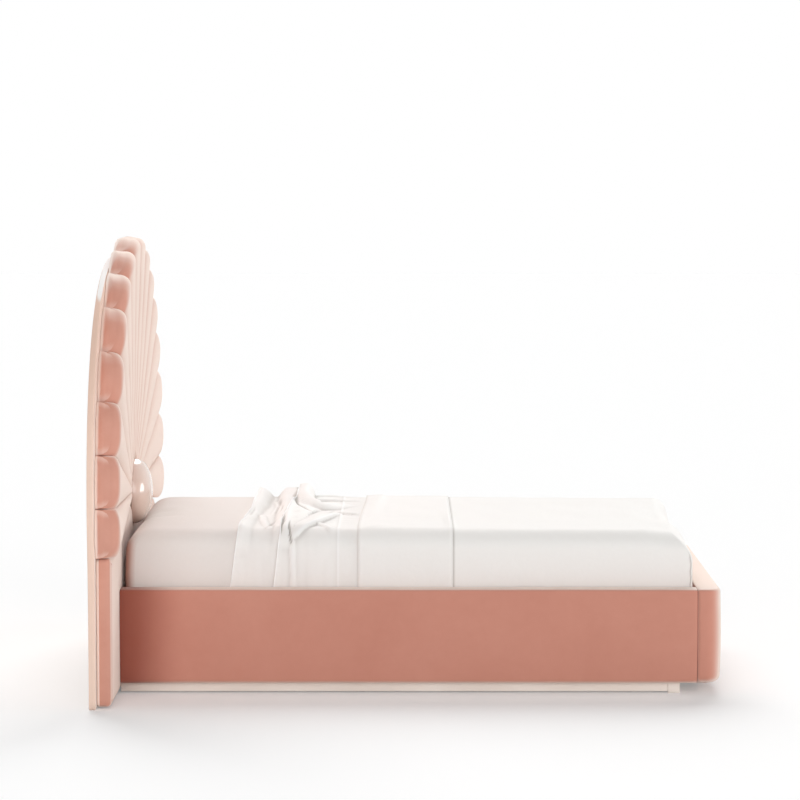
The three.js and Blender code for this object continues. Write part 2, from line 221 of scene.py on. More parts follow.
def cornerRound(rise, radius):
    # How far a rounded edge draws in at a rise above the start of its arc
    share = min(max(rise / radius, 0), 1)
    return radius * (1 - (1 - share ** 2) ** 0.5)


def smoothStep(value, low, high):
    share = np.clip((np.asarray(value, float) - low) / (high - low), 0, 1)
    return share * share * (3 - 2 * share)


def bell(value, width):
    return np.exp(-(value / width) ** 2)


def quarter(steps):
    # Sine and cosine at even steps round a quarter turn
    return [(math.sin(turn), math.cos(turn)) for turn in np.linspace(0, math.pi / 2, steps)]


def waves(points, scale, seed, octaves=3):
    # Soft unevenness between about -1 and 1, with waves about scale long; the same on every run
    dice = np.random.default_rng(seed)
    total = np.zeros(len(points))
    for octave in range(octaves):
        for _ in range(7):
            heading = dice.normal(size=3)
            heading *= 2 * math.pi * 2 ** octave / scale / np.linalg.norm(heading)
            total += np.sin(points @ heading + dice.uniform(0, 2 * math.pi)) / 7 / 1.7 ** octave
    return total


view = {"place": (-0.035, -11.829, 1.8906), "downDegrees": 4.36, "lens": 143.73, "sensor": 36, "reach": 200}


def placeCamera():
    data = bpy.data.cameras.new("camera")
    data.lens, data.sensor_width, data.clip_end = view["lens"], view["sensor"], view["reach"]
    made = linked("camera", data)
    made.location = view["place"]
    made.rotation_euler = (math.radians(90 - view["downDegrees"]), 0, 0)
    bpy.context.scene.camera = made


lighting = {
    "sky": 0.28,
    "lamps": {  # where the light comes from, its strength and how wide it is in degrees
        "keyLamp": ((-0.05, 0.76, 0.65), 2.72, 46),
        "frontLamp": ((0.0, -1.0, 0.12), 2.20, 65),
        "footLamp": ((1.0, -0.05, 0.03), 1.50, 30),
    },
    "lampDistance": 6, "floorReach": 40, "floorColour": (0.80, 0.80, 0.80, 1), "floorLift": 0.19,
    "white": (1, 1, 1, 1),
}


def whiteForCamera(tree):
    path = addNode(tree, "ShaderNodeLightPath")
    seen, glossy, clear = (Field(tree, path.outputs[f"Is {ray} Ray"]) for ray in ("Camera", "Glossy", "Transmission"))
    return seen.math("MAXIMUM", glossy).math("MAXIMUM", clear)


def makeWorld():
    world = bpy.data.worlds.new("studio")
    bpy.context.scene.world = world
    world.use_nodes = True
    tree = world.node_tree
    tree.nodes.clear()
    sky, white = (output(tree, "ShaderNodeBackground", 0, {0: lighting["white"], 1: strength})
                  for strength in (lighting["sky"], 1.0))
    mixed = output(tree, "ShaderNodeMixShader", 0, {0: whiteForCamera(tree), 1: sky, 2: white})
    addNode(tree, "ShaderNodeOutputWorld", {0: mixed})


def makeLamps():
    for name, (place, power, width) in lighting["lamps"].items():
        data = bpy.data.lights.new(name, "SUN")
        data.energy = power
        data.angle = math.radians(width)
        made = linked(name, data)
        made.location = Vector(place) * lighting["lampDistance"]
        made.rotation_euler = Vector(place).to_track_quat("Z", "Y").to_euler()


def makeFloor():
    reach = lighting["floorReach"]
    corners = [(-reach, -reach, 0), (reach, -reach, 0), (reach, reach, 0), (-reach, reach, 0)]
    floor = meshPiece("floor", corners, [(0, 1, 2, 3)])
    material = bpy.data.materials.new("studioFloor")
    material.use_nodes = True
    tree = material.node_tree
    tree.nodes.clear()
    matt = output(tree, "ShaderNodeBsdfDiffuse", 0, {0: lighting["floorColour"]})
    strength = whiteForCamera(tree) * lighting["floorLift"]
    lift = output(tree, "ShaderNodeEmission", 0, {0: lighting["white"], 1: strength})
    both = output(tree, "ShaderNodeAddShader", 0, {0: matt, 1: lift})
    addNode(tree, "ShaderNodeOutputMaterial", {0: both})
    floor.data.materials.append(material)


bpy.context.scene.view_settings.view_transform = "Standard"
placeCamera()
makeWorld()
makeLamps()
makeFloor()
print("camera, light and floor are placed")


# Effects that several materials share

def velvetNapGroup():
    # Patches of pile brushed different ways, and the fine pile itself
    tree, given, done = newTree("velvetNap", "ShaderNodeTree", {
        "Vector": "Vector", "Patch Size": 0.2, "Pile Size": 0.002}, {"Tone": "Float", "Height": "Float"})
    perPatch = given["Patch Size"] ** -1
    patch = noise(tree, given["Vector"], perPatch, 4.0, Roughness=0.55, Distortion=0.6)
    streak = noise(tree, given["Vector"], perPatch * 9, 3.0, Roughness=0.65)
    pile = noise(tree, given["Vector"], given["Pile Size"] ** -1, 2.0, Roughness=0.7)
    return done(Tone=(patch - 0.5) * 1.3 + (streak - 0.5) * 0.45 + (pile - 0.5) * 0.35,
                Height=pile * 0.5 + streak * 0.3)


def clothWeaveGroup():
    # Plain weave that shows on faces turned to any axis
    tree, given, done = newTree("clothWeave", "ShaderNodeTree", {
        "Vector": "Vector", "Thread Spacing": 0.0012, "Unevenness": 0.4}, {"Tone": "Float", "Height": "Float"})
    slub = noise(tree, given["Vector"], 90.0, 3.0)
    turn = (given["Thread Spacing"] ** -1) * (2 * math.pi)
    threads = [(axis * turn + slub * given["Unevenness"]).math("SINE") for axis in split(tree, given["Vector"])]
    weave = (threads[0] + threads[1] + threads[2]) / 3
    return done(Height=weave * 0.5 + slub * given["Unevenness"],
                Tone=(slub - 0.5) * given["Unevenness"] + weave * 0.1)


def softCreaseGroup():
    # The faint wrinkles of cotton that was folded and pressed
    tree, given, done = newTree("softCrease", "ShaderNodeTree", {
        "Vector": "Vector", "Size": 0.12, "Stretch": 3.0}, {"Height": "Float", "Mask": "Float"})
    place = output(tree, "ShaderNodeMapping", 0, {"Vector": given["Vector"], "Rotation": (0.2, 0.15, 0.5),
                                                  "Scale": joined(tree, given["Stretch"], 1.0, 1.0)})
    perCrease = given["Size"] ** -1
    broad = noise(tree, place, perCrease, 2.0, Distortion=1.2)
    fine = noise(tree, place, perCrease * 4, 4.0, Roughness=0.6, Distortion=0.8)
    ridge = (1 - abs(fine - 0.5) * 2) ** 3
    return done(Height=broad * 0.6 + ridge * 0.25, Mask=ridge)


def woodGrainGroup():
    # Long grain and pores; the grain runs along the vector's first axis
    tree, given, done = newTree("woodGrain", "ShaderNodeTree", {
        "Vector": "Vector", "Ring Size": 0.012, "Stretch": 0.08}, {"Tone": "Float", "Height": "Float"})
    place = output(tree, "ShaderNodeMapping", 0, {"Vector": given["Vector"],
                                                  "Scale": joined(tree, given["Stretch"], 1.0, 1.0)})
    rings = output(tree, "ShaderNodeTexWave", "Fac", {
        "Vector": place, "Scale": (given["Ring Size"] ** -1) * 0.16, "Distortion": 5.0, "Detail": 3.0,
        "Detail Scale": 0.6}, wave_type="RINGS", rings_direction="X")
    pores = noise(tree, place, 420.0, 3.0)
    return done(Tone=(rings - 0.5) * 0.8 + (pores - 0.5) * 0.7, Height=rings * 0.3 + pores * 0.7)


velvetNap = velvetNapGroup()
clothWeave = clothWeaveGroup()
softCrease = softCreaseGroup()
woodGrain = woodGrainGroup()


def startMaterial(name, **constants):
    material = bpy.data.materials.new(name)
    material.use_nodes = True
    tree = material.node_tree
    shader = tree.nodes["Principled BSDF"]
    for key, value in constants.items():
        shader.inputs[key].default_value = value
    return material, tree, shader, output(tree, "ShaderNodeTexCoord", "Object")


def useGroup(tree, group, inputs):
    made = addNode(tree, "ShaderNodeGroup", inputs, node_tree=group)
    return {socket.name: Field(tree, socket) for socket in made.outputs}


def blend(tree, share, low, high):
    return output(tree, "ShaderNodeMix", 2, {0: share, 6: low, 7: high}, data_type="RGBA")


def finished(material, tree, shader, colour, height, distance, roughness=None):
    # Feeds the colour, bump and roughness that change over the surface
    feed(tree, shader.inputs["Base Color"], colour)
    if roughness:
        feed(tree, shader.inputs["Roughness"], roughness)
    raised = output(tree, "ShaderNodeBump", 0, {"Strength": 1.0, "Distance": distance, "Height": height})
    feed(tree, shader.inputs["Normal"], raised)
    return material


def shaded(tree, colour, shadow, light):
    # Darker by painted shade where cloth meets cloth, and paler by a painted highlight on a hem or rim, by the
    # piece's own shade from -1 to 1
    mark = output(tree, "ShaderNodeAttribute", "Fac", attribute_name="shade")
    return blend(tree, (-mark).between(0.0, 1.0), blend(tree, mark.between(0.0, 1.0), colour, shadow), light)


def velvet(name, look):
    material, tree, shader, coords = startMaterial(name, **{
        "Roughness": 0.95, "Sheen Weight": look["sheen"], "Sheen Roughness": look["sheenRoughness"],
        "Sheen Tint": look["sheenTint"], "Specular IOR Level": 0.15})
    nap = useGroup(tree, velvetNap, {"Vector": coords, "Patch Size": look["patch"], "Pile Size": look["pile"]})
    facing = output(tree, "ShaderNodeLayerWeight", "Facing", {0: 0.5})
    pile = blend(tree, (nap["Tone"] * look["mottle"]) + 0.5, look["deep"], look["mid"])
    colour = blend(tree, facing.remap(*look["paleFrom"]), pile, look["pale"])
    if "lit" in look:
        # Deeper towards the top, and a painted highlight on faces that look up
        up = split(tree, output(tree, "ShaderNodeNewGeometry", "Normal"))[2]
        high = split(tree, coords)[2].remap(*look["darkFrom"])
        colour = blend(tree, high * look["darker"], colour, look["deep"])
        colour = blend(tree, up.remap(*look["litFrom"]), colour, look["lit"])
    colour = shaded(tree, colour, look["shadow"], look["rim"])
    return finished(material, tree, shader, colour, nap["Height"], look["bump"])


def cotton(name, look):
    material, tree, shader, coords = startMaterial(name, **{
        "Roughness": 0.92, "Sheen Weight": look["sheen"], "Sheen Roughness": 0.5, "Specular IOR Level": 0.2})
    weave = useGroup(tree, clothWeave, {"Vector": coords, "Thread Spacing": look["thread"], "Unevenness": 0.5})
    crease = useGroup(tree, softCrease, {"Vector": coords, "Size": look["creaseSize"], "Stretch": look["stretch"]})
    share = (weave["Tone"] * 0.5) + (crease["Mask"] * look["creaseTone"]) + 0.35
    # The hem colour is a painted highlight, laid on where a piece's shade is below zero
    colour = shaded(tree, blend(tree, share, look["deep"], look["pale"]), look["shadow"], look["hem"])
    return finished(material, tree, shader, colour, crease["Height"] + weave["Height"] * look["weaveShare"],
                    look["bump"])


def timber(name, look):
    material, tree, shader, coords = startMaterial(name, **{"Specular IOR Level": 0.35})
    turned = output(tree, "ShaderNodeMapping", 0, {"Vector": coords, "Rotation": look["turn"]})
    grain = useGroup(tree, woodGrain, {"Vector": turned, "Ring Size": look["ring"], "Stretch": look["stretch"]})
    colour = blend(tree, grain["Tone"] * 0.7 + 0.5, look["dark"], look["light"])
    return finished(material, tree, shader, colour, grain["Height"], look["bump"],
                    grain["Tone"] * 0.12 + look["roughness"])


def lacquer(name, look):
    material, tree, shader, coords = startMaterial(name, **{
        "Coat Weight": look["coat"], "Coat Roughness": look["coatRoughness"]})
    cloud = noise(tree, coords, look["cloudScale"], 3.0)
    peel = noise(tree, coords, 380.0, 2.0)
    return finished(material, tree, shader, blend(tree, cloud.remap(0.3, 0.7), look["deep"], look["pale"]), peel,
                    look["bump"], peel * 0.08 + look["roughness"])


def zinc(name, look):
    material, tree, shader, coords = startMaterial(name, Metallic=1.0)
    cloud = noise(tree, coords, look["cloudScale"], 4.0)
    return finished(material, tree, shader, blend(tree, cloud, look["deep"], look["pale"]), cloud, look["bump"],
                    cloud * 0.25 + look["roughness"])


# In each finish, shadow is the colour of painted shade, the rim and hem colours are painted highlights, and the
# panel's lit colour is a painted highlight on faces that look up
finishes = {
    "rib": velvet("ribVelvet", {
        "deep": (0.59, 0.270, 0.200, 1), "mid": (0.69, 0.365, 0.285, 1), "pale": (0.90, 0.75, 0.67, 1),
        "sheen": 0.35, "sheenRoughness": 0.35, "sheenTint": (1, 0.88, 0.82, 1), "paleFrom": (0.20, 0.90),
        "shadow": (0.22, 0.062, 0.042, 1), "rim": (0.96, 0.82, 0.75, 1),
        "patch": 0.22, "pile": 0.0022, "mottle": 0.6, "bump": 0.0008}),
    "base": velvet("baseVelvet", {
        "deep": (0.53, 0.220, 0.160, 1), "mid": (0.66, 0.315, 0.240, 1), "pale": (0.88, 0.74, 0.66, 1),
        "sheen": 0.25, "sheenRoughness": 0.35, "sheenTint": (1, 0.86, 0.8, 1), "paleFrom": (0.07, 0.78),
        "shadow": (0.26, 0.062, 0.040, 1), "rim": (0.93, 0.80, 0.72, 1),
        "patch": 0.35, "pile": 0.0022, "mottle": 0.5, "bump": 0.0008}),
    "panel": velvet("panelCloth", {
        "deep": (0.80, 0.56, 0.45, 1), "mid": (0.93, 0.73, 0.62, 1), "pale": (0.95, 0.84, 0.77, 1),
        "sheen": 0.2, "sheenRoughness": 0.5, "sheenTint": (1, 0.93, 0.88, 1), "paleFrom": (0.4, 1.0),
        "shadow": (0.45, 0.25, 0.18, 1), "rim": (0.96, 0.88, 0.82, 1),
        "lit": (0.96, 0.93, 0.91, 1), "litFrom": (0.86, 0.89), "darkFrom": (0.75, 1.25), "darker": 0.8,
        "patch": 0.4, "pile": 0.0016, "mottle": 0.35, "bump": 0.0003}),
    # The fitted sheet's reddish shadow colour is painted shade, tinted with painted light bounced off the velvet
    "fittedSheet": cotton("fittedSheetCotton", {
        "deep": (0.80, 0.77, 0.735, 1), "pale": (0.865, 0.845, 0.82, 1), "sheen": 0.1, "thread": 0.0012,
        "creaseSize": 0.16, "stretch": 1.4, "creaseTone": 0.06, "weaveShare": 0.06, "shadow": (0.46, 0.235, 0.17, 1),
        "hem": (0.95, 0.93, 0.92, 1), "bump": 0.0012}),
    "linen": cotton("linenCotton", {
        "deep": (0.86, 0.84, 0.81, 1), "pale": (0.93, 0.92, 0.90, 1), "sheen": 0.1, "thread": 0.0011,
        "creaseSize": 0.13, "stretch": 1.5, "creaseTone": 0.05, "weaveShare": 0.06, "shadow": (0.42, 0.38, 0.35, 1),
        "hem": (0.97, 0.965, 0.96, 1), "bump": 0.0013}),
    # The hem bead is whiter than the linen: a painted highlight along the hems
    "hem": cotton("hemCotton", {
        "deep": (0.95, 0.945, 0.94, 1), "pale": (1.0, 0.998, 0.995, 1), "sheen": 0.2, "thread": 0.0011,
        "creaseSize": 0.03, "stretch": 1.0, "creaseTone": 0.05, "weaveShare": 0.2, "shadow": (0.5, 0.46, 0.42, 1),
        "hem": (0.97, 0.965, 0.96, 1), "bump": 0.0003}),
    "timber": timber("planedPine", {
        "dark": (0.50, 0.32, 0.17, 1), "light": (0.72, 0.54, 0.33, 1), "turn": (0, 0, 0), "ring": 0.012,
        "stretch": 0.08, "roughness": 0.62, "bump": 0.0004}),
    "slat": timber("beechSlat", {
        "dark": (0.62, 0.44, 0.27, 1), "light": (0.78, 0.62, 0.43, 1), "turn": (0, 0, math.pi / 2), "ring": 0.006,
        "stretch": 0.05, "roughness": 0.55, "bump": 0.0003}),
    "plinth": lacquer("plinthLacquer", {
        "deep": (0.80, 0.71, 0.64, 1), "pale": (0.86, 0.78, 0.71, 1), "roughness": 0.42, "coat": 0.25,
        "coatRoughness": 0.3, "cloudScale": 3.0, "bump": 0.00015}),
    "pearl": lacquer("pearlLacquer", {
        "deep": (0.71, 0.525, 0.44, 1), "pale": (0.80, 0.63, 0.55, 1), "roughness": 0.22, "coat": 1.0,
        "coatRoughness": 0.03, "cloudScale": 7.0, "bump": 0.00003}),
    "bolt": zinc("zincPlate", {
        "deep": (0.5, 0.5, 0.52, 1), "pale": (0.72, 0.72, 0.7, 1), "roughness": 0.25, "cloudScale": 260.0,
        "bump": 0.0002}),
}
print("materials are mixed")


panelLow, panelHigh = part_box("back_panel")
blockLow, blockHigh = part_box("headboard_block")
pearlLow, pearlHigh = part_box("pearl")
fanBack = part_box("rib_08")[0][0]
fanCentre = middle("pearl")

headboard = {
    "panelPower": 2.43, "panelHalfWidth": 1.045, "panelFootHalfWidth": 1.015, "panelArch": 0.873,
    "panelEdge": 0.005, "panelCrown": 0.0008, "panelStep": 0.02, "panelFlare": 3,
    "blockInset": 0.058, "blockEdge": 0.016, "blockCrown": 0.004, "blockRim": 0.009, "blockStep": 0.012,
    "blockGap": 0.0006, "notchRadius": 0.1225, "blockSmoothing": 3, "paintedBackRimLight": -0.9, "blockFill": 0.9,
}

# The grooves lie at Top Pitch times their number, less Pitch Drop times its square
fan = {
    "Count": 16, "Top Pitch": math.radians(14.9), "Pitch Drop": math.radians(0.34),
    "Half Width": 1.030, "Height": 0.945, "Power": 1.93,
    "Hub Radius": 0.118, "Hub Thickness": 0.054, "End Thickness": 0.0880, "Crown Ratio": 0.150,
    "Arch Power": 2.6, "Arch Root": 0.55, "Scallop": 0.026, "End Round": 0.030, "Side Round": 0.009,
    "Back Round": 0.002, "End Crown": 0.005, "Gap": 0.0008, "Pucker": 0.0018, "Seam Shade": 0.80, "Seed": 4.0,
}

# Steps of a rib's mesh, the spacing of its puckers, and where painted shade darkens its seams and a painted highlight
# turns its end's rim pale
ribDetail = {
    "across": 22, "along": 30, "endSteps": 11, "rise": (0.0, 0.03, 0.07, 0.13, 0.35, 0.55, 0.70, 0.82, 0.92),
    "endRings": (0.994, 0.98, 0.95, 0.9, 0.83, 0.74, 0.63, 0.5, 0.35, 0.15),
    "puckerApart": 3.1, "puckerAcross": 16, "puckerAlong": 7, "tuckDepth": 0.11, "seamFrom": (0.972, 1.0),
    "seamLift": (0.9, 0.5), "endFrom": (0.0, 0.006), "rimDepth": (0.24, 0.08), "rimSide": (0.70, 0.98),
    "rimSideShare": 0.3, "fill": 0.85,
}


def vertexValues(piece, name):
    values = np.zeros(len(piece.data.vertices) * 3)
    piece.data.vertices.foreach_get(name, values)
    return values.reshape(-1, 3)


def outlineLoft(name, outline, profile, fit=None):
    # Rings of an anticlockwise outline in Y and Z; profile is a list of x and how far the ring draws in, and fit
    # keeps a ring's points from crossing at its corners
    ahead = np.roll(outline, -1, 0) - np.roll(outline, 1, 0)
    normals = np.stack([ahead[:, 1], -ahead[:, 0]], 1)
    normals = normals / np.linalg.norm(normals, axis=1, keepdims=True)
    rings = []
    for x, inset in profile:
        ring = outline - normals * inset
        if fit:
            ring = fit(ring, inset)
        rings.append([(x, y, z) for y, z in ring])
    return loftPiece(name, rings)


def evenOutline(corners, step):
    # The same closed outline with points about step apart
    corners = np.array(corners)
    loop = np.vstack([corners, corners[:1]])
    lengths = np.linalg.norm(np.diff(loop, axis=0), axis=1)
    along = np.concatenate([[0], np.cumsum(lengths)])
    places = np.arange(0, along[-1], along[-1] / round(along[-1] / step))
    return np.stack([np.interp(places, along, loop[:, axis]) for axis in range(2)], 1)


def roundedProfile(back, front, edge, crown, rim=0):
    profile = [(back, edge * 0.5), (back + edge * 0.15, edge * 0.15), (back + edge * 0.5, 0)]
    if rim:
        profile += [(back + rim, 0), (back + rim + 0.002, 0)]
    profile += [(front - crown - edge * (1 - sine), edge * (1 - cosine)) for sine, cosine in quarter(7)]
    return profile + [(front - crown * (1 - share) ** 2, edge * (1 + share)) for share in (0.25, 0.6, 1.0)]


def makeBackPanel():
    look, centre, power = headboard, fanCentre[2], headboard["panelPower"]
    foot, wide = look["panelFootHalfWidth"], look["panelHalfWidth"]
    side = [(foot + (wide - foot) * up ** look["panelFlare"], centre * up) for up in np.linspace(0, 1, 24)[:-1]]
    arch = []
    for angle in np.linspace(math.pi / 2, -math.pi / 2, 181):
        sine, cosine = math.sin(angle), math.cos(angle)
        radius = ((abs(sine) / wide) ** power + (abs(cosine) / look["panelArch"]) ** power) ** (-1 / power)
        arch.append((radius * sine, centre + radius * cosine))
    outline = evenOutline(side + arch + [(-y, z) for y, z in reversed(side)], look["panelStep"])
    profile = roundedProfile(panelLow[0], panelHigh[0], look["panelEdge"], look["panelCrown"])
    piece = outlineLoft("backPanel", outline, profile)
    return dress(piece, finishes["panel"], "frame", ["back_panel"])


def makeBlock():
    # Padded block under the fan, notched round the pearl
    look = headboard
    halfWidth, notch = look["panelHalfWidth"] - look["blockInset"], look["notchRadius"]
    half = fan["Count"] / 2
    slope = math.tan(half * (fan["Top Pitch"] - half * fan["Pitch Drop"]) - math.pi / 2)
    centre, roof, bottom = fanCentre[2], fanCentre[2] - look["blockGap"], blockLow[2]
    hollow = [(notch * math.cos(angle), centre - notch * math.sin(angle)) for angle in np.linspace(math.pi, 0, 25)]
    hollow = [(y, z) for y, z in hollow if z < roof - slope * abs(y)]
    shoulder = roof - slope * halfWidth
    outline = [(-halfWidth, bottom), (halfWidth, bottom), (halfWidth, shoulder), *sorted(hollow, reverse=True),
               (-halfWidth, shoulder)]
    outline = evenOutline(outline, look["blockStep"])
    for _ in range(look["blockSmoothing"]):
        outline = (np.roll(outline, 1, 0) + 2 * outline + np.roll(outline, -1, 0)) / 4

    def fit(ring, inset):
        y = np.clip(ring[:, 0], inset - halfWidth, halfWidth - inset)
        z = np.maximum(ring[:, 1], bottom + inset)
        z = np.minimum(z, roof - slope * np.abs(y) - inset)
        away = np.maximum(np.hypot(y, z - centre), 1e-6)
        push = np.maximum((notch + inset) / away, 1)
        return np.stack([y * push, centre + (z - centre) * push], 1)

    profile = roundedProfile(blockLow[0], blockHigh[0], look["blockEdge"], look["blockCrown"], look["blockRim"])
    piece = outlineLoft("headboardPad", outline, profile, fit)
    for face in piece.data.polygons:
        face.use_smooth = len(face.vertices) < 5
    # A painted highlight along the block's back rim
    backRim = blockLow[0] + look["blockRim"] + 0.0005
    setShade(piece, look["paintedBackRimLight"] * (vertexValues(piece, "co")[:, 0] < backRim))
    return dress(piece, finishes["rib"], "frame", ["headboard_block"])


def unitRib():
    # One rib as shares: x is lift, y is side, z is how far out; turn holds the rounding at the end, and how far
    # a ring of the end's face is shrunk to its middle
    look = ribDetail
    sides = np.linspace(-1, 1, look["across"] + 1)
    sides = np.sin(sides * math.pi / 2) * 0.6 + sides * 0.4
    section = [(lift, -1.0) for lift in look["rise"]] + [(1.0, side) for side in sides] \
        + [(lift, 1.0) for lift in look["rise"][::-1]] + [(0.0, 0.4), (0.0, -0.4)]
    stations = [(out, 0, 0, 1) for out in np.linspace(0, 1, look["along"] + 1) ** 0.9]
    stations += [(1, sine, 1 - cosine, 1) for sine, cosine in quarter(look["endSteps"])[1:]]
    stations += [(1, 1, 1, shrink) for shrink in look["endRings"]]
    points = [(lift, side, out) for out, *_ in stations for lift, side in section]
    piece = meshPiece("shellFan", points, closedFaces(len(stations), len(section)))
    turn = piece.data.attributes.new("turn", "FLOAT_VECTOR", "POINT")
    turn.data.foreach_set("vector", np.repeat(np.array(stations, float)[:, 1:], len(section), 0).ravel())
    return piece


def groove(step, given):
    # Angle of a groove from upright, by its number from the top
    return step * (given["Top Pitch"] - abs(step) * given["Pitch Drop"])


def kept(tree, geometry, name, value, domain):
    # Keeps a value on the geometry by name
    return output(tree, "GeometryNodeStoreNamedAttribute", 0, {"Geometry": geometry, "Name": name, "Value": value},
                  data_type="FLOAT", domain=domain)


def ribFanTree():
    look = ribDetail
    tree, given, done = newTree("ribFan", "GeometryNodeTree", {
        "Rib": "Geometry", "Back": 0.0, "Centre Height": 0.65, **fan, "Material": "Material"}, {"Fan": "Geometry"})
    points = output(tree, "GeometryNodePoints", 0, {"Count": given["Count"]})
    placed = output(tree, "GeometryNodeInstanceOnPoints", 0, {"Points": points, "Instance": given["Rib"]})
    numbered = kept(tree, placed, "ribIndex", output(tree, "GeometryNodeInputIndex", 0), "INSTANCE")
    ribs = output(tree, "GeometryNodeRealizeInstances", 0, {0: numbered})

    number, turn = (output(tree, "GeometryNodeInputNamedAttribute", 0, {"Name": name}, data_type=kind)
                    for name, kind in (("ribIndex", "FLOAT"), ("turn", "FLOAT_VECTOR")))
    up, inward, shrink = split(tree, turn)
    lift, side, out = split(tree, output(tree, "GeometryNodeInputPosition", 0))

    # The rib's own angle and half angle, and how far it reaches there
    step = number - given["Count"] * 0.5
    first, last = groove(step, given), groove(step + 1, given)
    angle, halfAngle = (first + last) * 0.5, (last - first) * 0.5
    sine, cosine, power = angle.math("SINE"), angle.math("COSINE"), given["Power"]
    reach = ((abs(sine) / given["Half Width"]) ** power + (abs(cosine) / given["Height"]) ** power) \
        ** -(power ** -1)
    shoulder = reach - given["End Round"]
    radius = given["Hub Radius"] + (shoulder - given["Hub Radius"]) * out
    halfWide = radius * halfAngle.math("TANGENT") - given["Gap"] * 0.5
    crown = halfWide * given["Crown Ratio"] * 2
    thickness = given["Hub Thickness"] + (given["End Thickness"] - given["Hub Thickness"]) * out
    arch = (1 - abs(side) ** given["Arch Power"]).math("MAXIMUM", 0.0) ** given["Arch Root"]

    deep, across = (lift - 0.5) * shrink + 0.5, side * shrink
    place = joined(tree, number * look["puckerApart"] + given["Seed"], across * halfWide * look["puckerAcross"],
                   radius * look["puckerAlong"])
    pucker = (noise(tree, place, 1.0, 2.0) - 0.5) * 2 * given["Pucker"] * deep
    front = thickness - crown * (1 - arch) - inward * given["End Round"] + pucker
    middle = (thickness - inward * given["End Round"]) * 0.5
    x = given["Back"] + middle + (lift * front - middle) * shrink
    bulge = (1 - shrink * shrink) ** 2
    tuck = (1 - deep / look["tuckDepth"]).math("MAXIMUM", 0.0) ** 2 * given["Back Round"]
    far = radius + up * (given["End Round"] - tuck) - given["Scallop"] * across * across * out ** 3 \
        + bulge * given["End Crown"] + pucker * up
    wide = across * (halfWide - inward * given["Side Round"] * lift ** 3 - tuck * 0.5 * up)
    position = joined(tree, x, wide * cosine + far * sine, far * cosine - wide * sine + given["Centre Height"])

    beside = abs(across)
    # Painted shade in the seams between the ribs, and a painted highlight on the back and side rims of each end
    seam = beside.remap(*look["seamFrom"], smooth=False) * lift.remap(*look["seamLift"]) * given["Seam Shade"]
    rim = (1 - shrink).remap(*look["endFrom"]) \
        * (deep.remap(*look["rimDepth"]) + beside.remap(*look["rimSide"]) * look["rimSideShare"])
    marked = kept(tree, ribs, "shade", seam - rim.math("MINIMUM", 1.0), "POINT")
    shaped = output(tree, "GeometryNodeSetPosition", 0, {"Geometry": marked, "Position": position})
    smooth = output(tree, "GeometryNodeSetShadeSmooth", 0, {"Geometry": shaped})
    return done(Fan=painted(tree, smooth, given))


def makeFan():
    piece = unitRib()
    runTree(piece, ribFanTree(), {**fan, "Back": fanBack, "Centre Height": fanCentre[2],
                                  "Material": finishes["rib"]})
    outward(piece)
    names = [f"rib_{number:02d}" for number in range(1, fan["Count"] + 1)]
    return dress(piece, finishes["rib"], "frame", names)


pearl = {"radius": 0.121, "power": 2.2, "rings": 40, "segments": 96}


def makePearl():
    # Dome whose rim turns in to a flat back
    count, ease = pearl["segments"], 2 / pearl["power"]
    points = [(pearlLow[0], fanCentre[1], fanCentre[2])]
    for ring in range(pearl["rings"]):
        turn = ring / pearl["rings"] * math.pi / 2
        radius = pearl["radius"] * math.cos(turn) ** ease
        x = pearlLow[0] + (pearlHigh[0] - pearlLow[0]) * math.sin(turn) ** ease
        for segment in range(count):
            angle = 2 * math.pi * segment / count
            points.append((x, fanCentre[1] + radius * math.sin(angle), fanCentre[2] + radius * math.cos(angle)))
    points.append((pearlHigh[0], fanCentre[1], fanCentre[2]))
    faces, last = ringFaces(pearl["rings"], count, 1), 1 + (pearl["rings"] - 1) * count
    for segment in range(count):
        after = (segment + 1) % count
        faces += [(0, 1 + segment, 1 + after), (len(points) - 1, last + after, last + segment)]
    piece = meshPiece("pearlBoss", points, faces)
    outward(piece)
    return dress(piece, finishes["pearl"], "frame", ["pearl"])


makeBackPanel()
makeBlock()
makeFan()
makePearl()
print("headboard is built")


base = {
    "railCrown": 0.003, "railTopRound": 0.011, "railBottomRound": 0.018, "innerRound": 0.004,
    "footCorner": 0.060, "footBottomRound": 0.028, "seamRound": 0.003, "step": 0.02,
    "unevenness": 0.0007, "swellSize": 0.3, "sideSeed": 11, "footSeed": 17,
    "headShade": 0.78, "headShadeReach": (0.02, 0.24), "seamShade": 0.9,
    "boardEdge": 0.0015, "timberEdge": 0.0012, "bevelFrom": 40, "smoothTo": 35,
}


def swell(low, high):
    # Height and swell at even steps up an outer face
    return [(low + (high - low) * share, math.sin(math.pi * share)) for share in np.linspace(0, 1, 12)[1:-1]]


def railOutline(inner, outer, low, high):
    # Section of a rail in (distance out, height), anticlockwise, with a slight swell on its outer face
    top, bottom, crown, back = base["railTopRound"], base["railBottomRound"], base["railCrown"], base["innerRound"]
    face = outer - crown
    section = [(inner, low + back), (inner + back, low)]
    section += [(face - bottom + bottom * sine, low + bottom - bottom * cosine) for sine, cosine in quarter(7)]
    section += [(face + crown * out, z) for z, out in swell(low + bottom, high - top)]
    section += [(face - top + top * cosine, high - top + top * sine) for sine, cosine in quarter(7)]
    section += [(inner + top - top * sine, high - top + top * cosine) for sine, cosine in quarter(6)]
    return section + [(inner, high - (high - low) * share) for share in (0.3, 0.6, 0.85)]


def roughen(piece, seed):
    # Slight unevenness of padding under a tight cover
    points = vertexValues(piece, "co")
    lift = waves(points, base["swellSize"], seed) * base["unevenness"]
    points = points + vertexValues(piece, "normal") * lift[:, None]
    piece.data.vertices.foreach_set("co", points.ravel())
    piece.data.update()


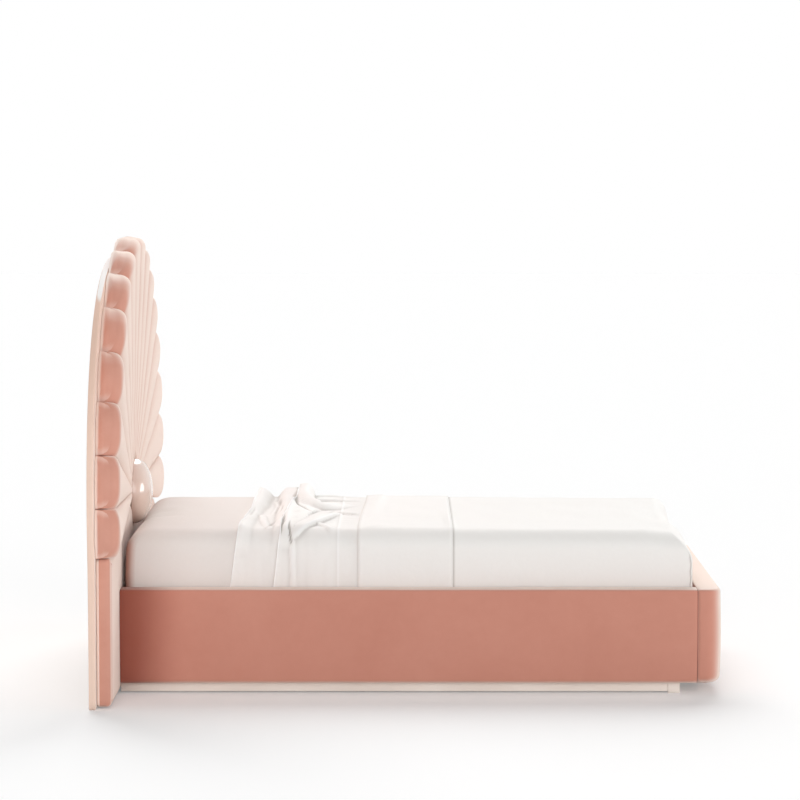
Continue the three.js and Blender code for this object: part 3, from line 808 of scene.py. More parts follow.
def makeSideRail(name, side):
    low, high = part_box(name)
    inner, outer = sorted((abs(low[1]), abs(high[1])))
    look, seam = base, base["seamRound"]
    stretch = high[0] - low[0]
    places = [(0, seam), (seam * 0.3, seam * 0.3), (seam, 0)]
    places += [(x, 0) for x in np.linspace(seam, stretch - seam, round(stretch / look["step"]))[1:-1]]
    places += [(stretch - seam, 0), (stretch - seam * 0.3, seam * 0.3), (stretch, seam)]
    rings = [[(low[0] + x, side * out, z)
              for out, z in railOutline(inner + draw, outer - draw, low[2] + draw, high[2] - draw)]
             for x, draw in places]
    piece = loftPiece("railRight" if side < 0 else "railLeft", rings)
    roughen(piece, look["sideSeed"] + side)
    x = vertexValues(piece, "co")[:, 0]
    # Painted shadow of the headboard on the rail's head end, and painted shade in the seam at its foot end
    setShade(piece, look["headShade"] * (1 - smoothStep(x - low[0], *look["headShadeReach"]))
             + look["seamShade"] * (x > high[0] - seam * 0.9))
    return dress(piece, finishes["base"], "frame", [name])


def makeFootRail():
    # The rail's section carried round the foot, with the two upright corners rounded
    low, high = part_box("foot_rail")
    corner, halfWidth = base["footCorner"], high[1]
    mid, side = high[0] - corner, halfWidth - corner
    # Points of the plan, each with its heading outwards
    path = [(x, -halfWidth, 0, -1) for x in np.linspace(low[0], mid, 3)]
    path += [(mid + corner * sine, -side - corner * cosine, sine, -cosine) for sine, cosine in quarter(15)[1:]]
    path += [(high[0], y, 1, 0) for y in np.linspace(-side, side, 60)[1:]]
    path += [(mid + corner * cosine, side + corner * sine, cosine, sine) for sine, cosine in quarter(15)[1:]]
    path = np.array(path + [(x, halfWidth, 0, 1) for x in np.linspace(mid, low[0], 3)[1:]])
    top, bottom, crown = base["railTopRound"], base["footBottomRound"], base["railCrown"]
    levels = [(low[2], bottom + crown)]
    levels += [(low[2] + bottom - bottom * cosine, bottom - bottom * sine + crown) for sine, cosine in quarter(7)]
    levels += [(z, crown * (1 - out)) for z, out in swell(low[2] + bottom, high[2] - top)]
    levels += [(high[2] - top + top * sine, top - top * cosine + crown) for sine, cosine in quarter(7)]
    rings = []
    for z, draw in levels:
        ring = path[:, :2] - path[:, 2:] * draw
        rings.append([(max(x, low[0]), y, z) for x, y in ring])
    piece = loftPiece("railFoot", rings)
    roughen(piece, base["footSeed"])
    return dress(piece, finishes["base"], "frame", ["foot_rail"])


def refined(node, edge, finish):
    # A rigid part with its own flat faces and its edges eased
    mesh = nodes[node].data.copy()
    mesh.transform(nodes[node].matrix_world)
    shape = bmesh.new()
    shape.from_mesh(mesh)
    bmesh.ops.remove_doubles(shape, verts=shape.verts, dist=1e-5)
    bmesh.ops.dissolve_limit(shape, angle_limit=math.radians(1), verts=shape.verts, edges=shape.edges)
    bent = math.radians(base["bevelFrom"])
    sharp = [e for e in shape.edges if len(e.link_faces) == 2 and e.calc_face_angle() > bent]
    bmesh.ops.bevel(shape, geom=sharp, offset=edge, segments=3, profile=0.5, affect="EDGES")
    shape.to_mesh(mesh)
    shape.free()
    first, *words = node.split("_")
    mesh.name = first + "".join(word.capitalize() for word in words)
    easedEdges(mesh, base["smoothTo"])
    return dress(linked(mesh.name, mesh), finishes[finish], "frame", [node])


def rowTree():
    # One part set out in an even row
    tree, given, done = newTree("evenRow", "GeometryNodeTree", {
        "Part": "Geometry", "Count": 4, "Start": "Vector", "Spacing": "Vector", "Material": "Material"},
        {"Row": "Geometry"})
    line = output(tree, "GeometryNodeMeshLine", 0, {
        "Count": given["Count"], "Start Location": given["Start"], "Offset": given["Spacing"]}, mode="OFFSET")
    placed = output(tree, "GeometryNodeInstanceOnPoints", 0, {"Points": line, "Instance": given["Part"]})
    real = output(tree, "GeometryNodeRealizeInstances", 0, {0: placed})
    return done(Row=painted(tree, real, given))


evenRow = rowTree()


def makeRow(piece, names, finish):
    # Sets the part out from the first named node to the last
    start, end = middle(names[0]), middle(names[-1])
    runTree(piece, evenRow, {"Count": len(names), "Start": tuple(start),
                             "Spacing": tuple((end - start) / (len(names) - 1)), "Material": finishes[finish]})
    return dress(piece, finishes[finish], "frame", names)


slats = {"count": 11, "longEdge": 0.004, "endEdge": 0.0015, "sharp": 30}


def makeSlats():
    # A planed slat with well rounded long edges
    low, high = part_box("slat_01")
    half = (high - low) / 2
    shape = bmesh.new()
    bmesh.ops.create_cube(shape, size=2)
    bmesh.ops.scale(shape, vec=half, verts=shape.verts)

    def across(e):
        return abs(e.verts[0].co.y - e.verts[1].co.y)

    long = [e for e in shape.edges if across(e) > half.y]
    bmesh.ops.bevel(shape, geom=long, offset=slats["longEdge"], segments=4, profile=0.5, affect="EDGES")
    ends = [e for e in shape.edges if across(e) < 1e-6 and len(e.link_faces) == 2
            and e.calc_face_angle() > math.radians(60)]
    bmesh.ops.bevel(shape, geom=ends, offset=slats["endEdge"], segments=2, profile=0.5, affect="EDGES")
    mesh = bpy.data.meshes.new("bedSlats")
    shape.to_mesh(mesh)
    shape.free()
    piece = linked("bedSlats", mesh)
    makeRow(piece, [f"slat_{number:02d}" for number in range(1, slats["count"] + 1)], "slat")
    easedEdges(piece.data, slats["sharp"])


bolts = {"count": 4, "shank": 0.004, "head": 0.007, "headHeight": 0.008, "socket": 0.0032, "socketDepth": 0.004,
         "sides": 24, "sharp": 35}


def makeHeadBolts():
    # Cap screws with a socket, turned from a profile of (radius, place along)
    low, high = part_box("head_bolt_1")
    length = high[0] - low[0]
    shank, head, socket = bolts["shank"], bolts["head"], bolts["socket"]
    under = length - bolts["headHeight"]
    profile = [(shank - 0.0006, 0), (shank, 0.0006), (shank, under), (head - 0.0004, under),
               (head, under + 0.0004), (head, length - 0.0008), (head - 0.0008, length), (socket + 0.0003, length),
               (socket, length - 0.0003), (socket, length - bolts["socketDepth"])]
    turns = np.linspace(0, 2 * math.pi, bolts["sides"], endpoint=False)
    piece = loftPiece("headBolts", [
        [(along - length / 2, radius * math.cos(turn), radius * math.sin(turn)) for turn in turns]
        for radius, along in profile])
    makeRow(piece, [f"head_bolt_{number}" for number in range(1, bolts["count"] + 1)], "bolt")
    easedEdges(piece.data, bolts["sharp"])


makeSideRail("side_rail_right", -1)
makeSideRail("side_rail_left", 1)
makeFootRail()
for node in ("plinth_right", "plinth_left", "plinth_foot", "plinth_block_right", "plinth_block_left"):
    refined(node, base["boardEdge"], "plinth")
for node in ("head_rail", "slat_ledger_left", "slat_ledger_right", "corner_block_left", "corner_block_right",
             "centre_beam", "centre_leg_head", "centre_leg_foot", "pearl_base"):
    refined(node, base["timberEdge"], "timber")
makeSlats()
makeHeadBolts()
print("base is built")


mattressLow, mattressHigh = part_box("mattress")
sheetLow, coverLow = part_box("top_sheet")[0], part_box("coverlet")[0]
bandLow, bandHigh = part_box("turn_down")

# Depths are under the mattress's top, and reaches run from one depth or distance to another
bedding = {
    "headRound": 0.088, "footRound": 0.060, "sideRound": 0.074, "topRound": 0.068, "bottomRound": 0.022,
    "headCorner": 0.034, "footCorner": 0.012, "cornerShrink": 0.6, "cornerLeast": 0.25, "endReach": 0.3,
    "headShade": 0.85, "headShadeReach": (0.006, 0.040), "headShadeHeight": (0.50, 0.565),
    "softDepth": 0.12, "headLift": 0.007, "headLiftReach": (0.0, 0.9), "footDrop": 0.002, "footReach": 0.20,
    "footDent": 0.026, "footSag": 0.006, "dentFrom": 0.05, "dentPast": 0.02, "dentDepth": (0.16, 0.02),
    "footSlope": 0.030, "cornerSag": 0.010, "slopeFrom": 0.30, "slopeDepth": (0.10, 0.005),
    "pearlDent": 0.012, "pearlAcross": (0.07, 0.17), "pearlAlong": (0.06, 0.18),
    "headBulge": 0.005, "bulgeAlong": (0.02, 0.12), "bulgeDepth": (0.16, 0.03), "footBulge": 0.0030,
    "sideSwell": 0.003, "swellHeight": 0.24, "sideReach": 0.06, "sideDepth": 0.10,
    # Soft unevenness, as its amount, stretch, scale and seed
    "sideWave": (0.0015, (1, 0.2, 0.25), 0.30, 5), "topWave": (0.0020, (1, 1, 0.1), 0.55, 3),
    "sheet": 0.0020, "cover": 0.0050, "band": 0.0090, "thickness": 0.0018,
    "step": 0.0125, "fine": 0.0055, "fineAcross": 0.0075, "cornerFold": 0.994, "fill": 0.9,
    "edgeDrift": 0.022, "driftAlong": 0.15, "driftAcross": (-0.5, 0.6),
}


def softBox(x0, x1, half, shape):
    # Draws a point of a plain grid in to the soft box; shape(z) gives how far the head, the foot and the sides
    # draw in at that height, and the radii of the plan's corners
    reach = bedding["endReach"]

    def place(x, y, z):
        head, foot, side, headCorner, footCorner = shape(z)
        x = x + head * (1 - smoothStep(x, x0, x0 + reach)) - foot * smoothStep(x, x1 - reach, x1)
        y = y * (half - side) / half
        for end, radius, sign in ((x0 + head, headCorner, -1), (x1 - foot, footCorner, 1)):
            dx, dy = sign * (x - end) + radius, abs(y) - (half - side - radius)
            if radius > 0 and dx > 0 and dy > 0:
                scale = max(dx, dy) / math.hypot(dx, dy)
                x = end + sign * (dx * scale - radius)
                y = math.copysign(half - side - radius + dy * scale, y)
        return x, y, z

    return place


def beddingForm(grow, bottom, startX=None, endX=None, closedBottom=False, steps=None, across=None):
    # The mattress's soft box grown outwards; a start or end leaves it open there
    look = bedding
    x0 = mattressLow[0] - grow if startX is None else startX
    x1 = mattressHigh[0] + grow + look["footBulge"] if endX is None else endX
    half, top = mattressHigh[1] + grow, mattressHigh[2] + grow
    atHead, atFoot, across = startX is None, endX is None, across or look["step"]
    topRound, bottomRound = look["topRound"], look["bottomRound"]

    def shape(z):
        turn = cornerRound(z - (top - topRound), topRound) / topRound
        low = cornerRound(bottom + bottomRound - z, bottomRound) if closedBottom else 0.0
        shrink = max(look["cornerLeast"], 1 - turn * look["cornerShrink"])
        return ((turn * look["headRound"] + low) * atHead, (turn * look["footRound"] + low) * atFoot,
                turn * look["sideRound"] + low, look["headCorner"] * shrink * atHead,
                look["footCorner"] * shrink * atFoot)

    xs = np.linspace(x0, x1, max(2, round((x1 - x0) / look["step"])) + 1) if steps is None else steps
    ys = np.linspace(-half, half, round(2 * half / across) + 1)
    zs = [bottom + bottomRound * (1 - cosine) for _, cosine in quarter(5)] if closedBottom else [bottom]
    straight = top - topRound
    zs += list(np.linspace(zs[-1], straight, max(2, round((straight - zs[-1]) / across)) + 1)[1:])
    zs += [straight + topRound * sine for sine, _ in quarter(14)[1:]]
    place = softBox(xs[0], xs[-1], half, shape)
    points, faces, index = [], [], {}

    def vertex(i, j, level):
        key = (i, j, level)
        if key not in index:
            index[key] = len(points)
            points.append(place(xs[i], ys[j], zs[level]))
        return index[key]

    lastX, lastY, topLevel = len(xs) - 1, len(ys) - 1, len(zs) - 1
    runs = [[(i, 0) for i in range(lastX + 1)], [(i, lastY) for i in range(lastX, -1, -1)]]
    if atFoot:
        runs.append([(lastX, j) for j in range(lastY + 1)])
    if atHead:
        runs.append([(0, j) for j in range(lastY, -1, -1)])
    for run in runs:
        for (i, j), (k, m) in zip(run, run[1:]):
            for level in range(topLevel):
                faces.append((vertex(i, j, level), vertex(k, m, level), vertex(k, m, level + 1),
                              vertex(i, j, level + 1)))
    for i in range(lastX):
        for j in range(lastY):
            square = ((i, j), (i + 1, j), (i + 1, j + 1), (i, j + 1))
            faces.append(tuple(vertex(*corner, topLevel) for corner in square))
            if closedBottom:
                faces.append(tuple(vertex(*corner, 0) for corner in (square[0], *square[:0:-1])))
    return np.array(points), faces


def uneven(points, amount, stretch, scale, seed, octaves=3):
    return amount * waves(points * stretch, scale, seed, octaves)


def settle(points):
    # What the mattress does to everything on it: a soft top, sides that swell and a foot edge that gives way
    look = bedding
    x0, x1 = mattressLow[0], mattressHigh[0]
    top, half = mattressHigh[2], mattressHigh[1]
    (x, y, z), beside, out = points.T, np.abs(points[:, 1]), points.copy()

    def above(low, high=0.0):
        return smoothStep(z, top - low, top - high)

    def near(value, low, high):
        return 1 - smoothStep(value, low, high)

    along, upper = np.clip((x - x0) / (x1 - x0), 0, 1), above(look["softDepth"])
    nearFoot = smoothStep(x, x1 - look["footReach"], x1)
    footMiddle = near(beside, look["dentFrom"], half + look["dentPast"]) * nearFoot
    footCorner = smoothStep(-y, look["slopeFrom"], half) * nearFoot
    underPearl = near(beside, *look["pearlAcross"]) * near(x - x0, *look["pearlAlong"])
    out[:, 2] += upper * (look["headLift"] * near(along, *look["headLiftReach"]) - look["footDrop"] * along
                          - look["footSag"] * footMiddle - look["cornerSag"] * footCorner
                          - look["pearlDent"] * underPearl
                          + uneven(points, *look["topWave"]))
    out[:, 0] -= look["footDent"] * footMiddle * above(*look["dentDepth"]) \
        + look["footSlope"] * footCorner * above(*look["slopeDepth"]) \
        + look["headBulge"] * near(x - x0, *look["bulgeAlong"]) * (1 - above(*look["bulgeDepth"]))
    side = smoothStep(beside, half - look["sideReach"], half) * (1 - above(look["sideDepth"]))
    swollen = look["sideSwell"] * np.sin(np.clip((z - top) / look["swellHeight"] + 1, 0, 1) * math.pi)
    out[:, 1] += np.sign(y) * side * (swollen + uneven(points, *look["sideWave"]))
    return out


def makeMattress():
    look = bedding
    points, faces = beddingForm(0, mattressLow[2], closedBottom=True)
    piece = meshPiece("mattressFitted", settle(points), faces)
    # Painted shade on the lower head end, close to the headboard, in the fitted sheet's reddish shadow colour
    head = 1 - smoothStep(points[:, 0] - mattressLow[0], *look["headShadeReach"])
    setShade(piece, look["headShade"] * head * (1 - smoothStep(points[:, 2], *look["headShadeHeight"])))
    outward(piece)
    return dress(piece, finishes["fittedSheet"], "mattress", ["mattress"])


def beadTree():
    # A bead of cloth that follows an open line of edges
    tree, given, done = newTree("beadAlong", "GeometryNodeTree", {
        "Line": "Geometry", "Radius": 0.0016, "Flatness": 0.6, "Spacing": 0.004, "Material": "Material"},
        {"Bead": "Geometry"})
    curve = output(tree, "GeometryNodeMeshToCurve", 0, {0: given["Line"]})
    even = output(tree, "GeometryNodeResampleCurve", 0, {"Curve": curve, "Length": given["Spacing"]}, mode="LENGTH")
    ring = output(tree, "GeometryNodeCurvePrimitiveCircle", 0, {"Resolution": 8, "Radius": given["Radius"]})
    flat = output(tree, "GeometryNodeTransform", 0, {"Geometry": ring,
                                                     "Scale": joined(tree, 1.0, given["Flatness"], 1.0)})
    tube = output(tree, "GeometryNodeCurveToMesh", 0, {"Curve": even, "Profile Curve": flat, "Fill Caps": True})
    real = output(tree, "GeometryNodeRealizeInstances", 0, {0: tube})
    smooth = output(tree, "GeometryNodeSetShadeSmooth", 0, {"Geometry": real})
    return done(Bead=painted(tree, smooth, given))


beadAlong = beadTree()
hemBead = {"Radius": 0.0029, "Flatness": 0.7, "Spacing": 0.004}


def makeHemBead(name, line):
    piece = meshPiece(name, line, [], [(i, i + 1) for i in range(len(line) - 1)])
    runTree(piece, beadAlong, {**hemBead, "Material": finishes["hem"]})
    outward(piece)
    return dress(piece, finishes["hem"], "mattress")


def clothPiece(name, points, faces, replaced, shade=None):
    piece = meshPiece(name, points, faces)
    if shade is not None:
        setShade(piece, shade)
    outward(piece)
    shell = piece.modifiers.new("thickness", "SOLIDIFY")
    shell.thickness = bedding["thickness"]
    shell.offset = -1
    shell.use_even_offset = False
    applyModifiers(piece)
    dress(piece, finishes["linen"], "mattress", replaced)
    return piece


# Lines across the top sheet, as x at each of these distances across the bed
lineStations = (-0.82, -0.60, -0.40, -0.10, 0.35, 0.58, 0.82)
sheetLines = {
    "hem": (-0.640, -0.610, -0.597, -0.581, -0.581, -0.572, -0.590),
    "secondHem": (-0.4855, -0.461, -0.461, -0.450, -0.438, -0.440, -0.460),
    "pressedFold": (-0.254, -0.254, -0.253, -0.252, -0.251, -0.250, -0.252),
    "underCover": (-0.168, -0.165, -0.162, -0.158, -0.152, -0.150, -0.160),
}

rumples = [
    # path of (x, across, height), half widths on its right and left hand, how blunt each is, lean to the foot
    {"path": [(-0.566, 0.70, 0.0), (-0.562, 0.56, 0.033), (-0.566, 0.30, 0.031), (-0.576, 0.02, 0.025),
              (-0.594, -0.30, 0.017), (-0.598, -0.54, 0.012), (-0.606, -0.68, 0.0)],
     "widths": (0.050, 0.040), "blunt": (1.3, 1.3), "lean": -0.1},
    {"path": [(-0.474, 0.72, 0.0), (-0.470, 0.57, 0.035), (-0.464, 0.25, 0.034), (-0.456, -0.10, 0.028),
              (-0.452, -0.40, 0.020), (-0.450, -0.56, 0.012), (-0.452, -0.66, 0.0)],
     "widths": (0.038, 0.050), "blunt": (1.2, 1.6), "lean": 0.1},
    {"path": [(-0.410, 0.70, 0.0), (-0.412, 0.56, 0.050), (-0.414, 0.36, 0.049), (-0.394, 0.18, 0.040),
              (-0.350, 0.08, 0.030), (-0.306, 0.10, 0.020), (-0.262, 0.20, 0.008), (-0.235, 0.26, 0.0)],
     "widths": (0.056, 0.050), "blunt": (0.9, 0.9), "lean": 0.30},
    {"path": [(-0.446, 0.20, 0.022), (-0.446, -0.10, 0.026), (-0.446, -0.40, 0.020), (-0.438, -0.54, 0.012),
              (-0.424, -0.595, 0.008), (-0.404, -0.590, 0.012), (-0.366, -0.51, 0.018), (-0.330, -0.39, 0.020),
              (-0.296, -0.25, 0.016), (-0.262, -0.10, 0.004)],
     "widths": (0.010, 0.120), "blunt": (0.45, 0.9), "lean": 0.20},
    {"path": [(-0.270, 0.00, 0.0), (-0.240, -0.06, 0.006), (-0.188, -0.10, 0.008)],
     "widths": (0.010, 0.060), "blunt": (0.5, 1.6), "lean": 0.1},
    {"path": [(-0.594, -0.44, 0.010), (-0.594, -0.56, 0.011), (-0.606, -0.66, 0.0)],
     "widths": (0.014, 0.020), "blunt": (0.9, 1.6), "lean": 0.0},
    {"path": [(-0.418, -0.58, 0.007), (-0.414, -0.70, 0.005), (-0.412, -0.84, 0.003)],
     "widths": (0.010, 0.014), "blunt": (0.8, 1.4), "lean": 0.0},
    {"path": [(-0.360, 0.34, 0.009), (-0.280, 0.36, 0.007), (-0.200, 0.38, 0.003)],
     "widths": (0.008, 0.022), "blunt": (0.7, 1.6), "lean": 0.0},
    {"path": [(-0.350, 0.50, 0.007), (-0.290, 0.51, 0.005), (-0.200, 0.49, 0.002)],
     "widths": (0.008, 0.024), "blunt": (0.7, 1.6), "lean": 0.0},
    {"path": [(-0.330, -0.44, 0.009), (-0.300, -0.50, 0.007), (-0.270, -0.58, 0.0)],
     "widths": (0.010, 0.030), "blunt": (0.8, 1.6), "lean": 0.0},
    {"path": [(-0.540, -0.16, 0.006), (-0.524, -0.36, 0.008), (-0.500, -0.52, 0.004)],
     "widths": (0.016, 0.016), "blunt": (1.2, 1.2), "lean": 0.0},
    {"path": [(-0.502, 0.30, 0.005), (-0.496, 0.10, 0.007), (-0.500, -0.10, 0.003)],
     "widths": (0.012, 0.010), "blunt": (1.2, 1.2), "lean": 0.0},
]

# Sharp creases as a path of (x, across, depth), a half width and how dark their painted shade is
creases = [
    {"path": [(-0.438, 0.64, 0.006), (-0.444, 0.44, 0.004), (-0.440, 0.20, 0.008), (-0.420, 0.03, 0.011),
              (-0.390, -0.09, 0.012), (-0.352, -0.13, 0.012), (-0.308, -0.09, 0.009), (-0.278, 0.00, 0.002)],
     "width": 0.010, "dark": 0.9},
    {"path": [(-0.278, -0.02, 0.0), (-0.262, -0.06, 0.005), (-0.223, -0.12, 0.006), (-0.183, -0.135, 0.006)],
     "width": 0.006, "dark": 1.0},
    {"path": [(-0.462, -0.28, 0.002), (-0.455, -0.44, 0.009), (-0.456, -0.56, 0.009), (-0.460, -0.61, 0.0)],
     "width": 0.008, "dark": 1.0},
    {"path": [(-0.436, -0.44, 0.0), (-0.432, -0.53, 0.009), (-0.424, -0.60, 0.010), (-0.414, -0.65, 0.0)],
     "width": 0.007, "dark": 1.0},
    {"path": [(-0.600, -0.24, 0.0), (-0.606, -0.42, 0.006), (-0.612, -0.55, 0.008), (-0.620, -0.62, 0.0)],
     "width": 0.007, "dark": 1.0},
    {"path": [(-0.486, 0.34, 0.0), (-0.490, 0.20, 0.006), (-0.482, 0.04, 0.0)], "width": 0.012, "dark": 0.6},
    {"path": [(-0.480, 0.10, 0.0), (-0.474, -0.04, 0.006), (-0.478, -0.20, 0.0)], "width": 0.010, "dark": 0.6},
    {"path": [(-0.500, 0.16, 0.0), (-0.494, 0.02, 0.005), (-0.500, -0.14, 0.0)], "width": 0.010, "dark": 0.5},
    {"path": [(-0.566, 0.06, 0.0), (-0.574, -0.14, 0.005), (-0.584, -0.32, 0.0)], "width": 0.014, "dark": 0.5},
    {"path": [(-0.488, -0.30, 0.0), (-0.500, -0.44, 0.006), (-0.520, -0.56, 0.0)], "width": 0.014, "dark": 0.5},
]


def smoothPath(points):
    # Catmull-Rom curve through the points
    points = np.array(points, float)
    padded = np.vstack([2 * points[0] - points[1], points, 2 * points[-1] - points[-2]])
    curve = []
    for i in range(1, len(padded) - 2):
        p0, p1, p2, p3 = padded[i - 1:i + 3]
        for t in np.linspace(0, 1, 8, endpoint=False):
            curve.append(0.5 * (2 * p1 + (p2 - p0) * t + (2 * p0 - 5 * p1 + 4 * p2 - p3) * t ** 2
                                + (3 * p1 - p0 - 3 * p2 + p3) * t ** 3))
    curve.append(points[-1])
    return np.array(curve)


def besidePath(x, across, path):
    # Distance from a path, which hand the point is on (below zero is the right) and the path's height there
    path = smoothPath(path)
    best = np.full(len(x), 9.0)
    height, hand = np.zeros(len(x)), np.zeros(len(x))
    for start, end in zip(path, path[1:]):
        line = end[:2] - start[:2]
        length = np.linalg.norm(line)
        line = line / length
        dx, dy = x - start[0], across - start[1]
        share = np.clip(dx * line[0] + dy * line[1], 0, length)
        offX, offY = dx - share * line[0], dy - share * line[1]
        distance = np.hypot(offX, offY)
        closer = distance < best
        best[closer] = distance[closer]
        hand[closer] = np.sign(line[0] * offY - line[1] * offX)[closer]
        height[closer] = (start[2] + (end[2] - start[2]) * share / length)[closer]
    return best, hand, np.maximum(height, 0)


def foldProfile(x, across, fold):
    distance, hand, height = besidePath(x, across, fold["path"])
    right = hand < 0
    share = np.clip(distance / np.where(right, *fold["widths"]), 0, 1)
    return height * (1 - share ** 2) ** np.where(right, *fold["blunt"])


def acrossBed(points):
    # Distance across the bed, over the top and down the sides
    return np.sign(points[:, 1]) * (np.abs(points[:, 1]) + np.clip(mattressHigh[2] - points[:, 2], 0, 1))


def onTop(points):
    # 1 on the top of the bed and 0 on its sides
    return smoothStep(points[:, 2], mattressHigh[2] - 0.08, mattressHigh[2] - 0.005)


def lineAt(across, line):
    return np.interp(across, lineStations, sheetLines[line])


def liftOff(out, points, amount):
    # Moves the cloth off the mattress: up from its top and outwards from its sides
    upper = onTop(points)
    out[:, 2] += upper * amount
    out[:, 1] += np.sign(points[:, 1]) * (1 - upper) * amount


rumpling = {
    "power": 3, "looseAbove": 0.02, "creaseSlope": 1.5, "darkSlope": 1.3, "darkDepth": 0.011, "lowest": -0.001,
    "pleatHeight": 0.0010, "pleatMost": 3, "pleatsFrom": (-0.37, -0.34), "pleatsTo": (-0.17, -0.15),
    # Soft unevenness, as its amount, stretch, scale, seed and octaves
    "alongWave": (0.004, (1, 1, 0), 0.22, 21, 2), "acrossWave": (0.006, (1, 1, 0), 0.30, 22, 2),
    "foldWave": (0.0022, (1, 0.6, 0), 0.07, 33, 3), "pleatWave": (1.0, (0.12, 1, 0), 0.045, 35, 2),
    "sideWave": (0.0014, (1, 0, 0.25), 0.06, 37, 2),
}


def rumpled(points):
    # Lifts the loose top sheet into folds that run over the bed; gives back how high each point is and how dark the
    # painted shade of the creases makes it
    look = rumpling
    x = points[:, 0] + uneven(points, *look["alongWave"])
    across = acrossBed(points) + uneven(points, *look["acrossWave"])
    lift, shift, dark = np.zeros((3, len(points)))
    for fold in rumples:
        profile = foldProfile(x, across, fold)
        lift += profile ** look["power"]
        shift += profile * fold["lean"]
    lift = lift ** (1 / look["power"])
    lift += np.clip(lift / look["looseAbove"], 0, 1) * uneven(points, *look["foldWave"])
    for crease in creases:
        distance, _, depth = besidePath(x, across, crease["path"])
        share = np.clip(distance / crease["width"], 0, 1)
        lift -= depth * (1 - share) ** look["creaseSlope"]
        # Painted shade in the crease
        paintedCreaseShade = crease["dark"] * np.clip(depth / look["darkDepth"], 0, 1)
        dark = np.maximum(dark, paintedCreaseShade * (1 - share) ** look["darkSlope"])
    pleated = smoothStep(x, *look["pleatsFrom"]) * (1 - smoothStep(x, *look["pleatsTo"]))
    lift += pleated * look["pleatHeight"] * np.clip(1 + uneven(points, *look["pleatWave"]), 0, look["pleatMost"])
    lift += (1 - onTop(points)) * uneven(points, *look["sideWave"])
    out = points.copy()
    liftOff(out, points, np.maximum(lift, look["lowest"]))
    out[:, 0] += shift * onTop(points)
    return out, lift, dark


# How deep a hollow is to look dark with painted shade, and its share, near by and further off
hollows = {"near": (0.0035, -0.9, 0.8, 0.42), "nearSteps": 4, "far": (0.014, -0.5, 1, 0.24), "farSteps": 40}


def cavity(lift, order):
    # Painted shade in hollows: how far each point of the grid lies below its surroundings
    grid = lift[order]
    blurred, total = grid, np.zeros(grid.shape)
    for step in range(1, hollows["farSteps"] + 1):
        padded = np.pad(blurred, ((1, 1), (0, 0)), mode="edge")
        blurred = (padded[2:] + padded[:-2] + 2 * blurred) / 4
        padded = np.pad(blurred, ((0, 0), (1, 1)), mode="edge")
        blurred = (padded[:, 2:] + padded[:, :-2] + 2 * blurred) / 4
        for reach in ("near", "far"):
            if step == hollows[reach + "Steps"]:
                depth, least, most, share = hollows[reach]
                total += np.clip((blurred - grid) / depth, least, most) * share
    flat = np.zeros(len(lift))
    flat[order] = total
    return flat


topSheet = {
    "layer": 0.0022, "layerEnd": (-0.30, -0.26), "hemFlare": 0.0030, "flareWidth": 0.010, "hemColumn": 0.988,
    "pressed": 0.0012, "pressedWidth": 0.0035, "beadLift": 0.001, "fadeReach": (-0.02, 0.008),
    "startGap": 0.01, "restColumns": 60,
    # Strength, distance towards the head and width of the painted shade at the second hem, and of the painted
    # highlight and painted shade at the pressed fold
    "hemPaintedShade": (0.22, 0.004, 0.0035), "foldPaintedHighlight": (-0.6, 0, 0.0022), "foldPaintedShade": (0.10, 0.006, 0.004),
}


def sheetGrid():
    # Columns that follow the sheet's own lines, so its hems are crisp
    columns, names = [], list(sheetLines)
    for index, (name, after) in enumerate(zip(names, names[1:])):
        gap = abs(sheetLines[name][1] - sheetLines[after][1])
        count = max(3, round(gap / bedding["fine"]))
        columns += [(index, share) for share in np.linspace(0, 1, count, endpoint=False)]
        if index == 0:
            columns += [(index, topSheet["hemColumn"])]
    columns.append((len(names) - 2, 1.0))
    return names, columns


def marked(line, name):
    # A narrow band of painted shade beside a line of the sheet, or of painted highlight where the strength is below
    # zero
    strength, back, width = topSheet[name]
    return strength * bell(line + back, width)


